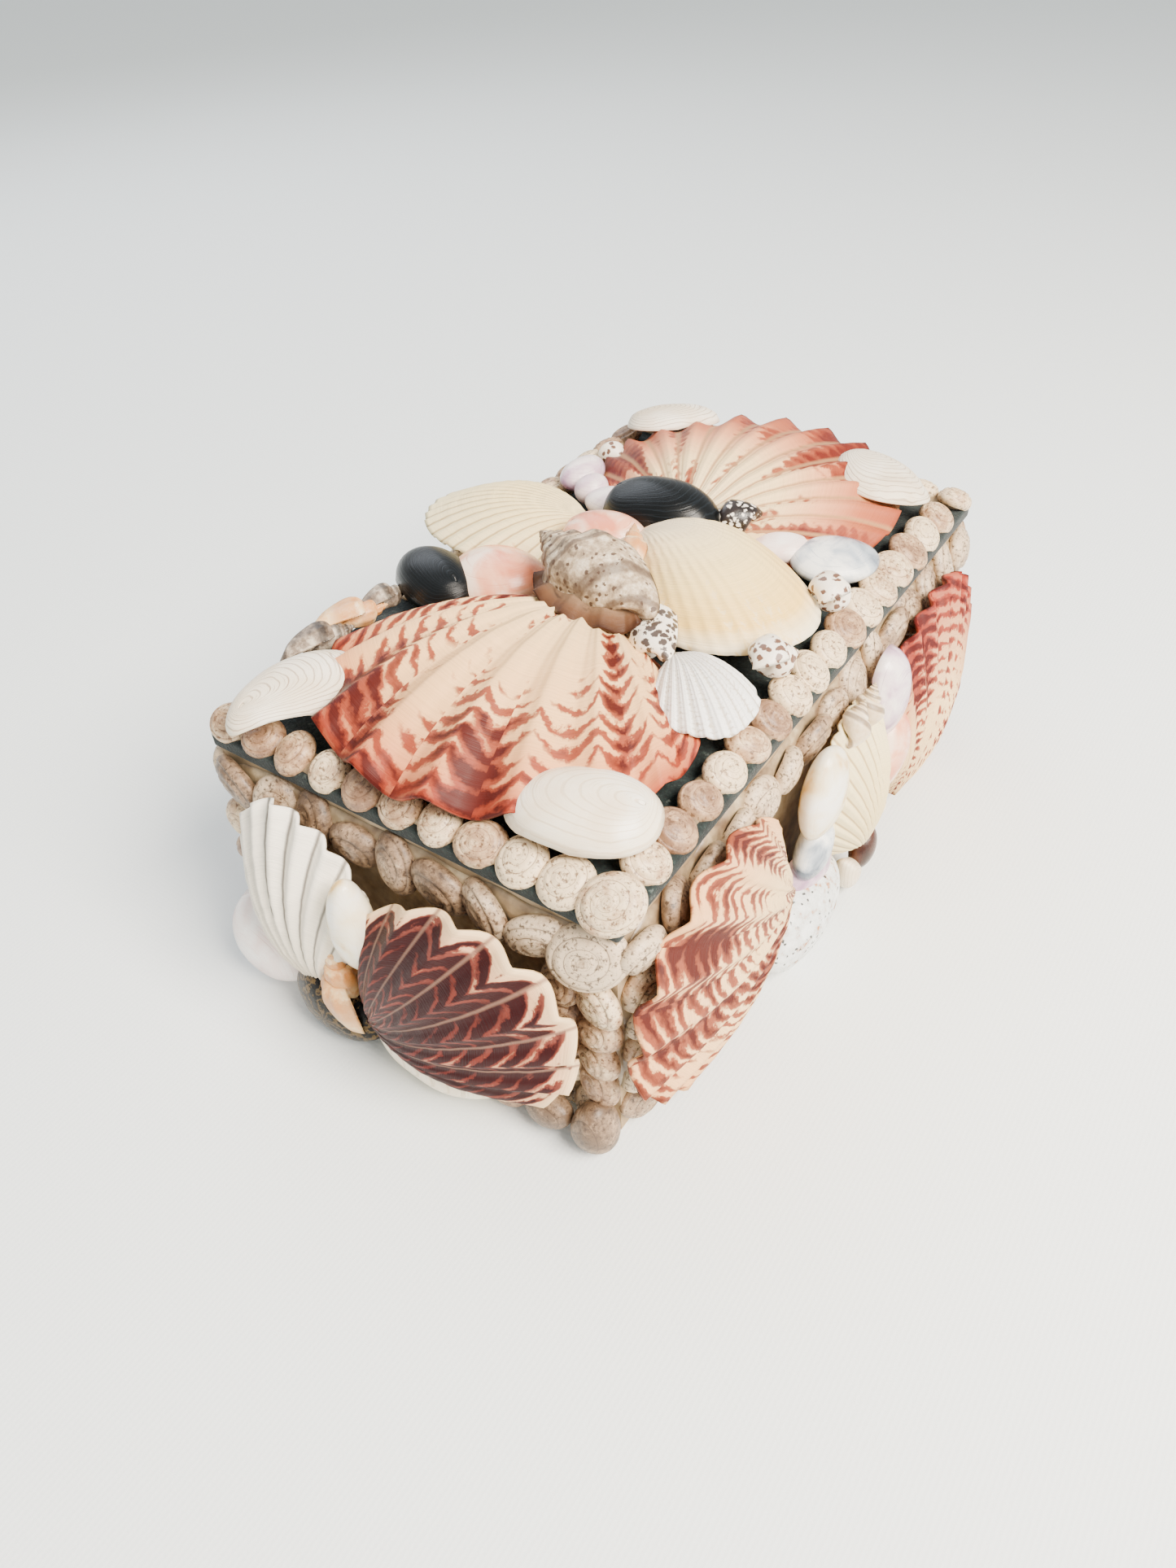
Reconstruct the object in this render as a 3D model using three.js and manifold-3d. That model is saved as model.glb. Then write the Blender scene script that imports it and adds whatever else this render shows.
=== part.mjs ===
// A keepsake box of thin board, covered all over with sea shells.
// Millimetres, +Z up, origin at the centre of the underside.
// +X is the short side to the right, +Y runs along the length, away from the front wall.

import * as THREE from "three";
import { ConvexGeometry } from "three/addons/geometries/ConvexGeometry.js";
import { mergeVertices } from "three/addons/utils/BufferGeometryUtils.js";
import Module from "manifold-3d";

const wasm = await Module();
wasm.setup();

// Driving sizes of the box
const LID_WIDTH = 130;
const LID_LENGTH = 220;
const LID_THICKNESS = 5;
const LID_OVERHANG = 1.5;
const CARCASS_HEIGHT = 80;
const WALL_THICKNESS = 5;
const FLOOR_THICKNESS = 4;
const GAP = 0.3;

// Driving sizes of the glued snail borders. Snails differ in size by up to the spread.
const RIM_SNAIL = 13;
const RIM_SNAIL_HEIGHT = 7.5;
const RIM_INSET = 3.2;
const WALL_SNAIL = 15.3;
const WALL_SNAIL_HEIGHT = 6.2;
const FOOT_SNAIL = 14.4;
const FOOT_SNAIL_HEIGHT = 6.2;
const COLUMN_SNAIL = 12;
const SNAIL_SPREAD = 0.07;

// The left rim row starts at this share of the lid's length before its middle
const LEFT_RIM_SHARE = 0.155;

// The open edge of a valve, a fan-shaped half shell, is this thick
const VALVE_EDGE = 1.8;

const CARCASS_WIDTH = LID_WIDTH - 2 * LID_OVERHANG;
const CARCASS_LENGTH = LID_LENGTH - 2 * LID_OVERHANG;
const LID_TOP = CARCASS_HEIGHT + GAP + LID_THICKNESS;

// A shell that lies on a row of snails stands this far off its panel
const ON_RIM_ROW = 2 * GAP + RIM_SNAIL_HEIGHT * (1 + SNAIL_SPREAD);
const ON_WALL_ROW = 2 * GAP + WALL_SNAIL_HEIGHT * (1 + SNAIL_SPREAD);

// Colours of the shells and boards
const BOARD = { color: 0x9c8a6c, roughness: 0.85 };
const VELVET = { color: 0x2e3c3a, roughness: 0.95 };
const SNAIL = { color: 0xcdbca4, roughness: 0.6 };
const GREY_SNAIL = { color: 0xb9a78e, roughness: 0.65 };
const ROSE = { color: 0xd98c78, roughness: 0.5 };
const MAROON = { color: 0x6e1f1c, roughness: 0.35 };
const CREAM = { color: 0xf0e4cb, roughness: 0.5 };
const IVORY = { color: 0xf3ecdc, roughness: 0.45 };
const BLACK = { color: 0x1c2228, roughness: 0.25 };
const PINK = { color: 0xeac4bb, roughness: 0.25 };
const LILAC = { color: 0xcbbcc4, roughness: 0.25 };
const BLUE_GREY = { color: 0xc9ced6, roughness: 0.2 };
const TAN = { color: 0xd9b98c, roughness: 0.5 };
const BROWN = { color: 0x6b5848, roughness: 0.5 };

const degrees = THREE.MathUtils.degToRad;

function material(finish) {
  return new THREE.MeshStandardMaterial({ ...finish, metalness: 0 });
}

// Closed meshes, their joins and their cuts

function weld(geometry) {
  const bare = geometry.index ? geometry.clone() : mergeVertices(geometry);
  bare.deleteAttribute("normal");
  bare.deleteAttribute("uv");
  return mergeVertices(bare, 1e-4);
}

function toSolid(geometry) {
  const welded = weld(geometry);
  return new wasm.Manifold(new wasm.Mesh({
    numProp: 3,
    vertProperties: new Float32Array(welded.attributes.position.array),
    triVerts: new Uint32Array(welded.index.array),
  }));
}

function toGeometry(solid) {
  const mesh = solid.getMesh();
  const geometry = new THREE.BufferGeometry();
  geometry.setAttribute("position", new THREE.BufferAttribute(mesh.vertProperties, 3));
  geometry.setIndex(new THREE.BufferAttribute(mesh.triVerts, 1));
  return geometry;
}

function join(geometries) {
  return toGeometry(geometries.map(toSolid).reduce((sum, solid) => sum.add(solid)));
}

function largestBody(solid) {
  return solid.decompose().reduce((best, body) => (body.volume() > best.volume() ? body : best));
}

// The same closed mesh with every face moved out by at least the given distance.
// A corner moves along the mean of its faces, each counted by its angle there,
// and goes further where its faces lean away from that mean.
const MOST_CORNER_GROWTH = 2;

function grown(geometry, distance) {
  const result = weld(geometry);
  const position = result.attributes.position;
  const index = result.index;
  const faces = Array.from({ length: position.count }, () => []);
  for (let start = 0; start < index.count; start += 3) {
    const corners = [0, 1, 2].map((offset) => index.getX(start + offset));
    const points = corners.map((corner) => new THREE.Vector3().fromBufferAttribute(position, corner));
    const normal = new THREE.Triangle(...points).getNormal(new THREE.Vector3());
    corners.forEach((corner, turn) => {
      const ahead = points[(turn + 1) % 3].clone().sub(points[turn]);
      const behind = points[(turn + 2) % 3].clone().sub(points[turn]);
      faces[corner].push({ normal, angle: ahead.angleTo(behind) });
    });
  }
  faces.forEach((around, corner) => {
    const mean = new THREE.Vector3();
    around.forEach(({ normal, angle }) => mean.addScaledVector(normal, angle));
    mean.normalize();
    const lean = Math.min(...around.map(({ normal }) => normal.dot(mean)));
    const reach = Math.min(MOST_CORNER_GROWTH, 1 / Math.max(lean, 0.1));
    const moved = new THREE.Vector3().fromBufferAttribute(position, corner);
    moved.addScaledVector(mean, distance * reach);
    position.setXYZ(corner, moved.x, moved.y, moved.z);
  });
  return result;
}

// A small steady variation from -1 to 1 that differs from one copy to the next
function variation(copy, kind) {
  return Math.sin(copy * 12.9 + kind * 78.2 + 1);
}

// Shell shapes. Each lies on z = 0 with its outer face up, and points along +Y.

// A solid closed by flat bottom. The outline is a loop of [x, y] points, every ring above it
// has as many points, and the last ring closes on one top point.
function domeFromRings(rings, top, middle) {
  const positions = [];
  const index = [];
  const count = rings[0].length;
  rings.forEach((ring) => ring.forEach((point) => positions.push(...point)));
  positions.push(...top, ...middle);
  const topIndex = rings.length * count;
  const middleIndex = topIndex + 1;
  for (let side = 0; side < count; side += 1) {
    const next = (side + 1) % count;
    for (let ring = 0; ring + 1 < rings.length; ring += 1) {
      const low = ring * count;
      const high = low + count;
      index.push(low + side, low + next, high + next);
      index.push(low + side, high + next, high + side);
    }
    const last = (rings.length - 1) * count;
    index.push(last + side, last + next, topIndex);
    index.push(next, side, middleIndex);
  }
  const geometry = new THREE.BufferGeometry();
  geometry.setAttribute("position", new THREE.Float32BufferAttribute(positions, 3));
  geometry.setIndex(index);
  return geometry;
}

// A skin stretched over equal sections from one end to the other, closed by a flat end at each.
// Seen from the far end, a section's points run anticlockwise.
function loft(sections) {
  const count = sections[0].length;
  const index = [];
  for (let section = 0; section + 1 < sections.length; section += 1) {
    for (let side = 0; side < count; side += 1) {
      const next = (side + 1) % count;
      const [here, there] = [section * count, (section + 1) * count];
      index.push(here + side, there + side, there + next);
      index.push(here + side, there + next, here + next);
    }
  }
  const last = (sections.length - 1) * count;
  for (let side = 1; side + 1 < count; side += 1) {
    index.push(0, side, side + 1);
    index.push(last, last + side + 1, last + side);
  }
  const geometry = new THREE.BufferGeometry();
  geometry.setAttribute("position", new THREE.Float32BufferAttribute(sections.flat(2), 3));
  geometry.setIndex(index);
  return geometry;
}

// A rounded shell on an egg-shaped plan: clams, moon shells, bubbles and button snails.
// Sweep is how far the side goes round: 90 stands upright at the rim, more tucks under.
function roundShell({ length, width, height, sides = 12, levels = 3, sweep = 90, beak = 0.12 }) {
  const end = degrees(sweep);
  const widest = sweep > 90 ? 1 : Math.sin(end);
  const rings = [];
  for (let level = 0; level < levels; level += 1) {
    const angle = end * (1 - level / levels);
    const spread = Math.sin(angle) / widest;
    const z = height * (Math.cos(angle) - Math.cos(end)) / (1 - Math.cos(end));
    const ring = [];
    for (let side = 0; side < sides; side += 1) {
      const around = 2 * Math.PI * side / sides;
      const egg = 1 - beak * Math.sin(around);
      const x = spread * width / 2 * Math.cos(around) * egg;
      const y = spread * length / 2 * Math.sin(around);
      ring.push([x, y, z]);
    }
    rings.push(ring);
  }
  return domeFromRings(rings, [0, 0, height], [0, 0, 0]);
}

// How a valve swells between its beak (0) and its open edge (1)
const BULGE_PEAK = 0.38;
const BEAK_BULGE = 0.5;

function bulge(along) {
  if (along > BULGE_PEAK) {
    return 1 - ((along - BULGE_PEAK) / (1 - BULGE_PEAK)) ** 2;
  }
  return 1 - BEAK_BULGE * ((BULGE_PEAK - along) / BULGE_PEAK) ** 2;
}

// A valve's plan is an ellipse through the beak, whose two straight shoulders start at it.
// Its ribs run out from the beak, and each ends at a small step in the open edge.
const SHOULDER = 38;

function valve({ length, width, height, ribs, ribHeight, levels = 3 }) {
  const columns = ribs * 2;
  const rim = [];
  for (let column = 0; column <= columns; column += 1) {
    const across = 2 * column / columns - 1;
    const around = degrees(180 + across * (180 - SHOULDER));
    const ridge = column % 2 ? 1 : -1;
    const reach = 1 + 0.4 * ridge * ribHeight / length;
    const x = -reach * width / 2 * Math.sin(around);
    const y = reach * length / 2 * (1 - Math.cos(around));
    rim.push({ x, y, across, ridge });
  }
  const positions = [0, 0, VALVE_EDGE + height * BEAK_BULGE, 0, 0, 0, 0, length / 2, 0];
  const index = [];
  const [beakTop, beakFoot, middle] = [0, 1, 2];
  for (let level = 1; level <= levels; level += 1) {
    const along = level / levels;
    rim.forEach(({ x, y, across, ridge }) => {
      const side = 1 - Math.abs(across) ** 3;
      const relief = ridge * ribHeight / 2 * along * side;
      const z = VALVE_EDGE + Math.max(0, height * bulge(along) * side + relief);
      positions.push(x * along, y * along, z);
    });
  }
  const at = (level, column) => 3 + (level - 1) * (columns + 1) + column;
  const footStart = 3 + levels * (columns + 1);
  rim.forEach(({ x, y }) => positions.push(x, y, 0));
  const foot = (column) => footStart + column;
  for (let column = 0; column < columns; column += 1) {
    index.push(beakTop, at(1, column + 1), at(1, column));
    for (let level = 1; level < levels; level += 1) {
      index.push(at(level, column), at(level, column + 1), at(level + 1, column + 1));
      index.push(at(level, column), at(level + 1, column + 1), at(level + 1, column));
    }
    index.push(at(levels, column), at(levels, column + 1), foot(column + 1));
    index.push(at(levels, column), foot(column + 1), foot(column));
    index.push(foot(column), foot(column + 1), middle);
  }
  [[0, 1], [columns, -1]].forEach(([column, way]) => {
    const loop = [beakTop];
    for (let level = 1; level <= levels; level += 1) {
      loop.push(at(level, column));
    }
    loop.push(foot(column));
    for (let step = 0; step + 1 < loop.length; step += 1) {
      const pair = way > 0 ? [loop[step], loop[step + 1]] : [loop[step + 1], loop[step]];
      index.push(beakFoot, ...pair);
    }
    index.push(...(way > 0 ? [beakFoot, foot(column), middle] : [foot(column), beakFoot, middle]));
  });
  const geometry = new THREE.BufferGeometry();
  geometry.setAttribute("position", new THREE.Float32BufferAttribute(positions, 3));
  geometry.setIndex(index);
  return geometry;
}

// A coiled shell on its side: whorls that widen from the tip to the mouth, then a narrowing foot.
// Foot is the share of the length below the widest whorl.
function coiledShell({ length, width, whorls = 3, foot = 0.45, sides = 8, bead = 0.12 }) {
  const profile = [new THREE.Vector2(0, -length / 2)];
  profile.push(new THREE.Vector2(width * 0.16, -length / 2 + length * 0.02));
  profile.push(new THREE.Vector2(width * 0.4, length * (foot * 0.55 - 0.5)));
  const spire = length * (1 - foot);
  for (let whorl = 0; whorl < whorls; whorl += 1) {
    const start = whorl / whorls;
    const radius = width / 2 * (1 - start) ** 0.8;
    const y = length * (foot - 0.5) + spire * start;
    profile.push(new THREE.Vector2(radius, y));
    if (whorl + 1 < whorls) {
      const next = (whorl + 0.8) / whorls;
      const neck = width / 2 * (1 - next) ** 0.8 * (1 - bead);
      profile.push(new THREE.Vector2(neck, length * (foot - 0.5) + spire * next));
    }
  }
  profile.push(new THREE.Vector2(0, length / 2));
  const lathe = new THREE.LatheGeometry(profile, sides);
  lathe.translate(0, 0, width / 2);
  return lathe;
}

// The panels that carry the shells. A wall panel's x runs to the right as seen from outside,
// its y is height above the ground, and its z points away from the box.

const box = new THREE.Group();

function wallPanel(x, y, turn, width) {
  const panel = new THREE.Group();
  panel.userData.size = new THREE.Vector2(width, CARCASS_HEIGHT);
  panel.position.set(x, y, 0);
  panel.rotation.set(Math.PI / 2, 0, degrees(turn), "ZYX");
  box.add(panel);
  return panel;
}

const lid = new THREE.Group();
lid.userData.size = new THREE.Vector2(LID_WIDTH, LID_LENGTH);
lid.position.z = LID_TOP;
box.add(lid);
const front = wallPanel(0, -CARCASS_LENGTH / 2, 0, CARCASS_WIDTH);
const right = wallPanel(CARCASS_WIDTH / 2, 0, 90, CARCASS_LENGTH);
const back = wallPanel(0, CARCASS_LENGTH / 2, 180, CARCASS_WIDTH);
const left = wallPanel(-CARCASS_WIDTH / 2, 0, -90, CARCASS_LENGTH);

function addMesh(parent, name, geometry, finish) {
  const mesh = new THREE.Mesh(geometry, material(finish));
  mesh.name = name;
  parent.add(mesh);
  return mesh;
}

// The carcass: floor and four walls round one open space

const carcassOutside = new THREE.BoxGeometry(CARCASS_WIDTH, CARCASS_LENGTH, CARCASS_HEIGHT);
const carcassInside = new THREE.BoxGeometry(
  CARCASS_WIDTH - 2 * WALL_THICKNESS,
  CARCASS_LENGTH - 2 * WALL_THICKNESS,
  CARCASS_HEIGHT,
);
carcassInside.translate(0, 0, FLOOR_THICKNESS);
const carcass = addMesh(
  box,
  "carcass",
  toGeometry(toSolid(carcassOutside).subtract(toSolid(carcassInside))),
  BOARD,
);
carcass.position.z = CARCASS_HEIGHT / 2;

// The lid board rests on the walls

const lidShape = new THREE.BoxGeometry(LID_WIDTH, LID_LENGTH, LID_THICKNESS);
const lidBoard = addMesh(lid, "lid_board", lidShape, VELVET);
lidBoard.position.z = -LID_THICKNESS / 2;

// Snail borders. Each row is one line of button snails, stuck side by side in a bead of glue.
// The row is one skin: its section widens and rises at each snail, and shrinks to the glue between.
// All but the shift are shares of a snail's size. A plain row, for a hidden wall, has snails
// without shoulders.

const GLUE_WIDTH = 0.6;
const GLUE_HEIGHT = 0.4;
const SNAIL_SHOULDER = 0.24;
const SNAIL_PITCH = 0.95;
const SNAIL_SHIFT = 0.5;

// A row's section, as shares of its half width and height
const ROW_SECTION = [[-1, 0], [-0.55, 0.95], [0.55, 0.95], [1, 0]];

function rowSkin(run, count, size, height, isPlain) {
  const pitch = run / count;
  const shoulders = isPlain ? [0] : [-SNAIL_SHOULDER, SNAIL_SHOULDER];
  const sections = [];
  const addSection = (x, width, rise, shift) => {
    const half = width / 2;
    sections.push(ROW_SECTION.map(([across, up]) => [x, shift + across * half, up * rise]));
  };
  for (let copy = 0; copy < count; copy += 1) {
    const wide = size * (1 + SNAIL_SPREAD * variation(copy, 1));
    const high = height * (1 + SNAIL_SPREAD * variation(copy, 2));
    const shift = SNAIL_SHIFT * variation(copy, 3);
    const middle = pitch * (copy + 0.5) - run / 2;
    addSection(middle - pitch / 2, size * GLUE_WIDTH, height * GLUE_HEIGHT, 0);
    shoulders.forEach((shoulder) => addSection(middle + pitch * shoulder, wide, high, shift));
  }
  addSection(run / 2, size * GLUE_WIDTH, height * GLUE_HEIGHT, 0);
  return loft(sections);
}

const rows = [];

function snailRow(panel, name, finish, { from, to, size, height, isPlain = false }) {
  const start = new THREE.Vector2(...from);
  const span = new THREE.Vector2(...to).sub(start);
  const run = span.length();
  const count = Math.round(run / (size * SNAIL_PITCH));
  const mesh = addMesh(panel, name, rowSkin(run, count, size, height, isPlain), finish);
  const middle = start.addScaledVector(span, 0.5);
  mesh.position.set(middle.x, middle.y, GAP);
  mesh.rotation.z = span.angle();
  rows.push(mesh);
}

// How far a row spreads to either side of its line
function rowReach(size) {
  return size / 2 * (1 + SNAIL_SPREAD) + SNAIL_SHIFT;
}

const rimX = LID_WIDTH / 2 - RIM_INSET;
const rimY = LID_LENGTH / 2 - RIM_INSET;
const rimRow = { size: RIM_SNAIL, height: RIM_SNAIL_HEIGHT };
const rimEnd = rimX + RIM_SNAIL / 2;
const innerEnd = rimY - rowReach(RIM_SNAIL) - GAP;
snailRow(lid, "front_rim_snails", SNAIL, { from: [-rimEnd, -rimY], to: [rimEnd, -rimY], ...rimRow });
snailRow(lid, "back_rim_snails", SNAIL, { from: [-rimEnd, rimY], to: [rimEnd, rimY], ...rimRow });
snailRow(lid, "right_rim_snails", SNAIL, { from: [rimX, -innerEnd], to: [rimX, innerEnd], ...rimRow });
const leftStart = -LEFT_RIM_SHARE * LID_LENGTH;
snailRow(lid, "left_rim_snails", SNAIL, { from: [-rimX, leftStart], to: [-rimX, innerEnd], ...rimRow });

const topY = CARCASS_HEIGHT - rowReach(WALL_SNAIL);
const topRow = { size: WALL_SNAIL, height: WALL_SNAIL_HEIGHT };
const footY = rowReach(FOOT_SNAIL) + GAP;
const footRow = { size: FOOT_SNAIL, height: FOOT_SNAIL_HEIGHT };
const shortHalf = CARCASS_WIDTH / 2;
const longHalf = CARCASS_LENGTH / 2;
const walls = [
  [front, "front", shortHalf, false],
  [right, "right", longHalf, false],
  [back, "back", shortHalf, true],
  [left, "left", longHalf, true],
];
walls.forEach(([panel, side, half, isPlain]) => {
  const topEnds = { from: [-half, topY], to: [half, topY], isPlain };
  const footEnds = { from: [-half, footY], to: [half, footY], isPlain };
  snailRow(panel, `${side}_top_snails`, GREY_SNAIL, { ...topEnds, ...topRow });
  snailRow(panel, `${side}_foot_snails`, GREY_SNAIL, { ...footEnds, ...footRow });
});
[[front, "front", false], [back, "back", true]].forEach(([panel, side, isPlain]) => {
  [["left", -1], ["right", 1]].forEach(([end, way]) => {
    const x = way * (shortHalf - COLUMN_SNAIL / 2 + 2);
    snailRow(panel, `${side}_${end}_column_snails`, SNAIL, {
      from: [x, footY + rowReach(FOOT_SNAIL) + GAP],
      to: [x, topY - rowReach(WALL_SNAIL) - GAP],
      size: COLUMN_SNAIL,
      height: WALL_SNAIL_HEIGHT,
      isPlain,
    });
  });
});

// Placing a shell on a panel. Its x and y are shares of the panel's width and height, so the
// pattern keeps its layout on a box of another size. Heading is the way that it points,
// anticlockwise from the panel's x; pitch lifts the end that it points to.

const feature = [];

function place(panel, name, finish, { x, y, lift, heading = 90, pitch = 0 }, geometry) {
  const mesh = addMesh(panel, name, geometry, finish);
  mesh.position.set(x * panel.userData.size.x, y * panel.userData.size.y, lift);
  mesh.rotation.set(degrees(pitch), 0, degrees(heading - 90), "ZXY");
  feature.push(mesh);
  return mesh;
}

// Shells on the lid, from the highest down: a lower one is hollowed where an upper one lies on it

const whelkBody = coiledShell({ length: 56, width: 26, whorls: 4, foot: 0.5, sides: 10, bead: 0.25 });
const whelkLip = roundShell({ length: 40, width: 22, height: 9, sides: 8, levels: 2 });
whelkLip.translate(-10, -7, 9);
place(lid, "whelk", BROWN, { x: 0, y: -0.095, lift: 12, heading: 160 },
  join([whelkBody, whelkLip]));
place(lid, "salmon_clam", PINK, { x: -0.131, y: 0.036, lift: 10, heading: 20 },
  roundShell({ length: 23, width: 17, height: 9, sides: 10 }));
place(lid, "spotted_dove_shell", IVORY, { x: 0.177, y: -0.132, lift: 6, heading: 126 },
  coiledShell({ length: 25, width: 15, whorls: 2, foot: 0.6 }));
place(lid, "tan_top_shell", TAN, { x: 0.431, y: 0.077, lift: 6 },
  roundShell({ length: 16, width: 15, height: 10, sides: 8 }));
place(lid, "spotted_top_shell", IVORY, { x: 0.431, y: -0.086, lift: 6 },
  roundShell({ length: 16, width: 15, height: 10, sides: 8 }));
place(lid, "lattice_cockle", IVORY, { x: 0.254, y: -0.15, lift: 9, heading: -32 },
  valve({ length: 32, width: 28, height: 8, ribs: 7, ribHeight: 0.8 }));
place(lid, "right_cockle", CREAM, { x: -0.038, y: 0.045, lift: 7, heading: -14, pitch: 2 },
  valve({ length: 64, width: 53, height: 18, ribs: 8, ribHeight: 0.8 }));
place(lid, "black_ribbed_clam", BLACK, { x: -0.038, y: 0.118, lift: 10, heading: 5 },
  roundShell({ length: 38, width: 25, height: 10, sweep: 80 }));
place(lid, "dark_dove_shell", BROWN, { x: 0.115, y: 0.15, lift: 9, heading: 200 },
  coiledShell({ length: 20, width: 11, whorls: 2, foot: 0.6 }));
place(lid, "left_cockle", CREAM, { x: -0.192, y: 0.073, lift: 6, heading: 203, pitch: 6 },
  valve({ length: 54, width: 45, height: 11, ribs: 8, ribHeight: 0.8 }));
place(lid, "pink_moon_shell", PINK, { x: -0.262, y: -0.095, lift: 1, heading: 20 },
  roundShell({ length: 31, width: 25, height: 17, sides: 10, sweep: 110 }));
place(lid, "black_clam", BLACK, { x: -0.385, y: -0.141, lift: 7, heading: 162 },
  roundShell({ length: 31, width: 20, height: 10, sides: 10, sweep: 100 }));
place(lid, "blue_grey_clam", BLUE_GREY, { x: 0.354, y: 0.186, lift: 3, heading: 35 },
  roundShell({ length: 27, width: 23, height: 10 }));
place(lid, "smooth_front_clam", IVORY, { x: 0.335, y: -0.414, lift: ON_RIM_ROW, heading: 200 },
  roundShell({ length: 36, width: 25, height: 8 }));
place(lid, "long_ribbed_shell", CREAM, { x: -0.35, y: -0.427, lift: ON_RIM_ROW, heading: 80 },
  roundShell({ length: 40, width: 22, height: 8, beak: -0.4 }));
place(lid, "flat_clam_left", IVORY, { x: -0.315, y: 0.423, lift: ON_RIM_ROW, heading: 39 },
  roundShell({ length: 32, width: 22, height: 6, sides: 10 }));
place(lid, "flat_clam_right", CREAM, { x: 0.3, y: 0.4, lift: 9, heading: -40 },
  roundShell({ length: 34, width: 28, height: 6, sides: 10, beak: -0.3 }));
const cornerShells = [
  { x: 13, y: -7, length: 15, width: 21 },
  { x: 1, y: -2, length: 13, width: 11 },
  { x: -8, y: 6, length: 20, width: 13 },
].map(({ x, y, length, width }) => {
  const shell = roundShell({ length, width, height: 10, sides: 8, levels: 2 });
  shell.translate(x, y, 0);
  return shell;
});
place(lid, "back_left_small_shells", LILAC, { x: -0.323, y: 0.191, lift: 4 },
  join(cornerShells));
place(lid, "front_scallop", ROSE, { x: 0.015, y: -0.1, lift: 3, heading: -91, pitch: 4 },
  valve({ length: 89, width: 107, height: 16, ribs: 12, ribHeight: 2.4 }));
place(lid, "back_scallop", ROSE, { x: 0.015, y: 0.109, lift: 3, heading: 90, pitch: 4 },
  valve({ length: 88, width: 104, height: 14, ribs: 11, ribHeight: 2.4 }));
const edgeWhelks = [
  { x: 1, y: -14, heading: 75, length: 26, width: 13 },
  { x: 0, y: 0, heading: 66, length: 26, width: 13 },
  { x: 1, y: 13, heading: 80, length: 20, width: 11 },
].map(({ x, y, heading, length, width }) => {
  const whelk = coiledShell({ length, width, whorls: 3, foot: 0.5, sides: 6 });
  whelk.rotateZ(degrees(heading - 90));
  whelk.translate(x, y, 0);
  return whelk;
});
place(lid, "edge_whelks", BROWN, { x: -0.469, y: -0.264, lift: 1 },
  join(edgeWhelks));

// The large shells on the walls are chosen to fill the height between the rows

function wallFill(share) {
  return share * CARCASS_HEIGHT;
}

// Shells on the front wall

place(front, "white_olive", IVORY, { x: -0.063, y: 0.688, lift: 9, heading: 90 },
  roundShell({ length: 33, width: 13, height: 12, sides: 8, sweep: 120 }));
place(front, "orange_snail", TAN, { x: -0.11, y: 0.338, lift: 8, heading: 98 },
  coiledShell({ length: 32, width: 13, whorls: 4, foot: 0.4 }));
place(front, "striped_nerite", BLACK, { x: -0.165, y: 0.181, lift: ON_WALL_ROW, heading: -15 },
  roundShell({ length: 32, width: 26, height: 16, sides: 10, sweep: 100 }));
place(front, "ribbed_cockle", IVORY, { x: -0.205, y: 0.212, lift: ON_WALL_ROW, heading: 97 },
  valve({ length: wallFill(0.8), width: wallFill(0.575), height: 13, ribs: 10, ribHeight: 1.6 }));
place(front, "dark_scallop", MAROON, { x: -0.059, y: 0.231, lift: 11, heading: 35 },
  valve({ length: wallFill(0.963), width: wallFill(0.825), height: 12, ribs: 11, ribHeight: 2 }));
place(front, "smooth_white_clam", IVORY, { x: 0.134, y: 0.158, lift: ON_WALL_ROW, heading: -4 },
  roundShell({ length: 46, width: 24, height: 14, sides: 10 }));
place(front, "pale_pink_clam", PINK, { x: -0.394, y: 0.25, lift: ON_WALL_ROW, heading: 60 },
  roundShell({ length: 34, width: 31, height: 13, sides: 10 }));

// Shells on the right wall

place(right, "yellow_bubble", CREAM, { x: -0.111, y: 0.8, lift: ON_WALL_ROW, heading: 85 },
  roundShell({ length: 30, width: 21, height: 11, sides: 10, sweep: 100 }));
place(right, "blue_bubble", BLUE_GREY, { x: -0.097, y: 0.487, lift: 6, heading: 60 },
  roundShell({ length: 21, width: 16, height: 10, sides: 10, sweep: 110 }));
place(right, "pink_clam", PINK, { x: 0.147, y: 0.475, lift: 9, heading: 70 },
  roundShell({ length: 28, width: 20, height: 8, sides: 10 }));
place(right, "purple_clam", LILAC, { x: 0.124, y: 0.787, lift: ON_WALL_ROW, heading: 100 },
  roundShell({ length: 32, width: 21, height: 8, sides: 10 }));
place(right, "cream_cockle", CREAM, { x: 0.028, y: 0.225, lift: ON_WALL_ROW, heading: 98 },
  valve({ length: wallFill(0.725), width: wallFill(0.575), height: 12, ribs: 7, ribHeight: 1.4 }));
place(right, "lilac_clam", LILAC, { x: -0.092, y: 0.312, lift: 6, heading: 40 },
  roundShell({ length: 32, width: 24, height: 8, sides: 10 }));
place(right, "pale_rough_shell", BLUE_GREY, { x: -0.12, y: 0.194, lift: ON_WALL_ROW, heading: 5 },
  roundShell({ length: 46, width: 28, height: 12, sides: 10 }));
place(right, "right_front_scallop", ROSE, { x: -0.175, y: 0.475, lift: ON_WALL_ROW, heading: 170 },
  valve({ length: wallFill(0.975), width: wallFill(0.988), height: 9, ribs: 11, ribHeight: 2.2 }));
place(right, "right_back_scallop", ROSE, { x: 0.198, y: 0.125, lift: ON_WALL_ROW, heading: 52 },
  valve({ length: wallFill(0.95), width: wallFill(1), height: 10, ribs: 11, ribHeight: 2.2 }));

// Shells on the hidden walls, plainer

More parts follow.
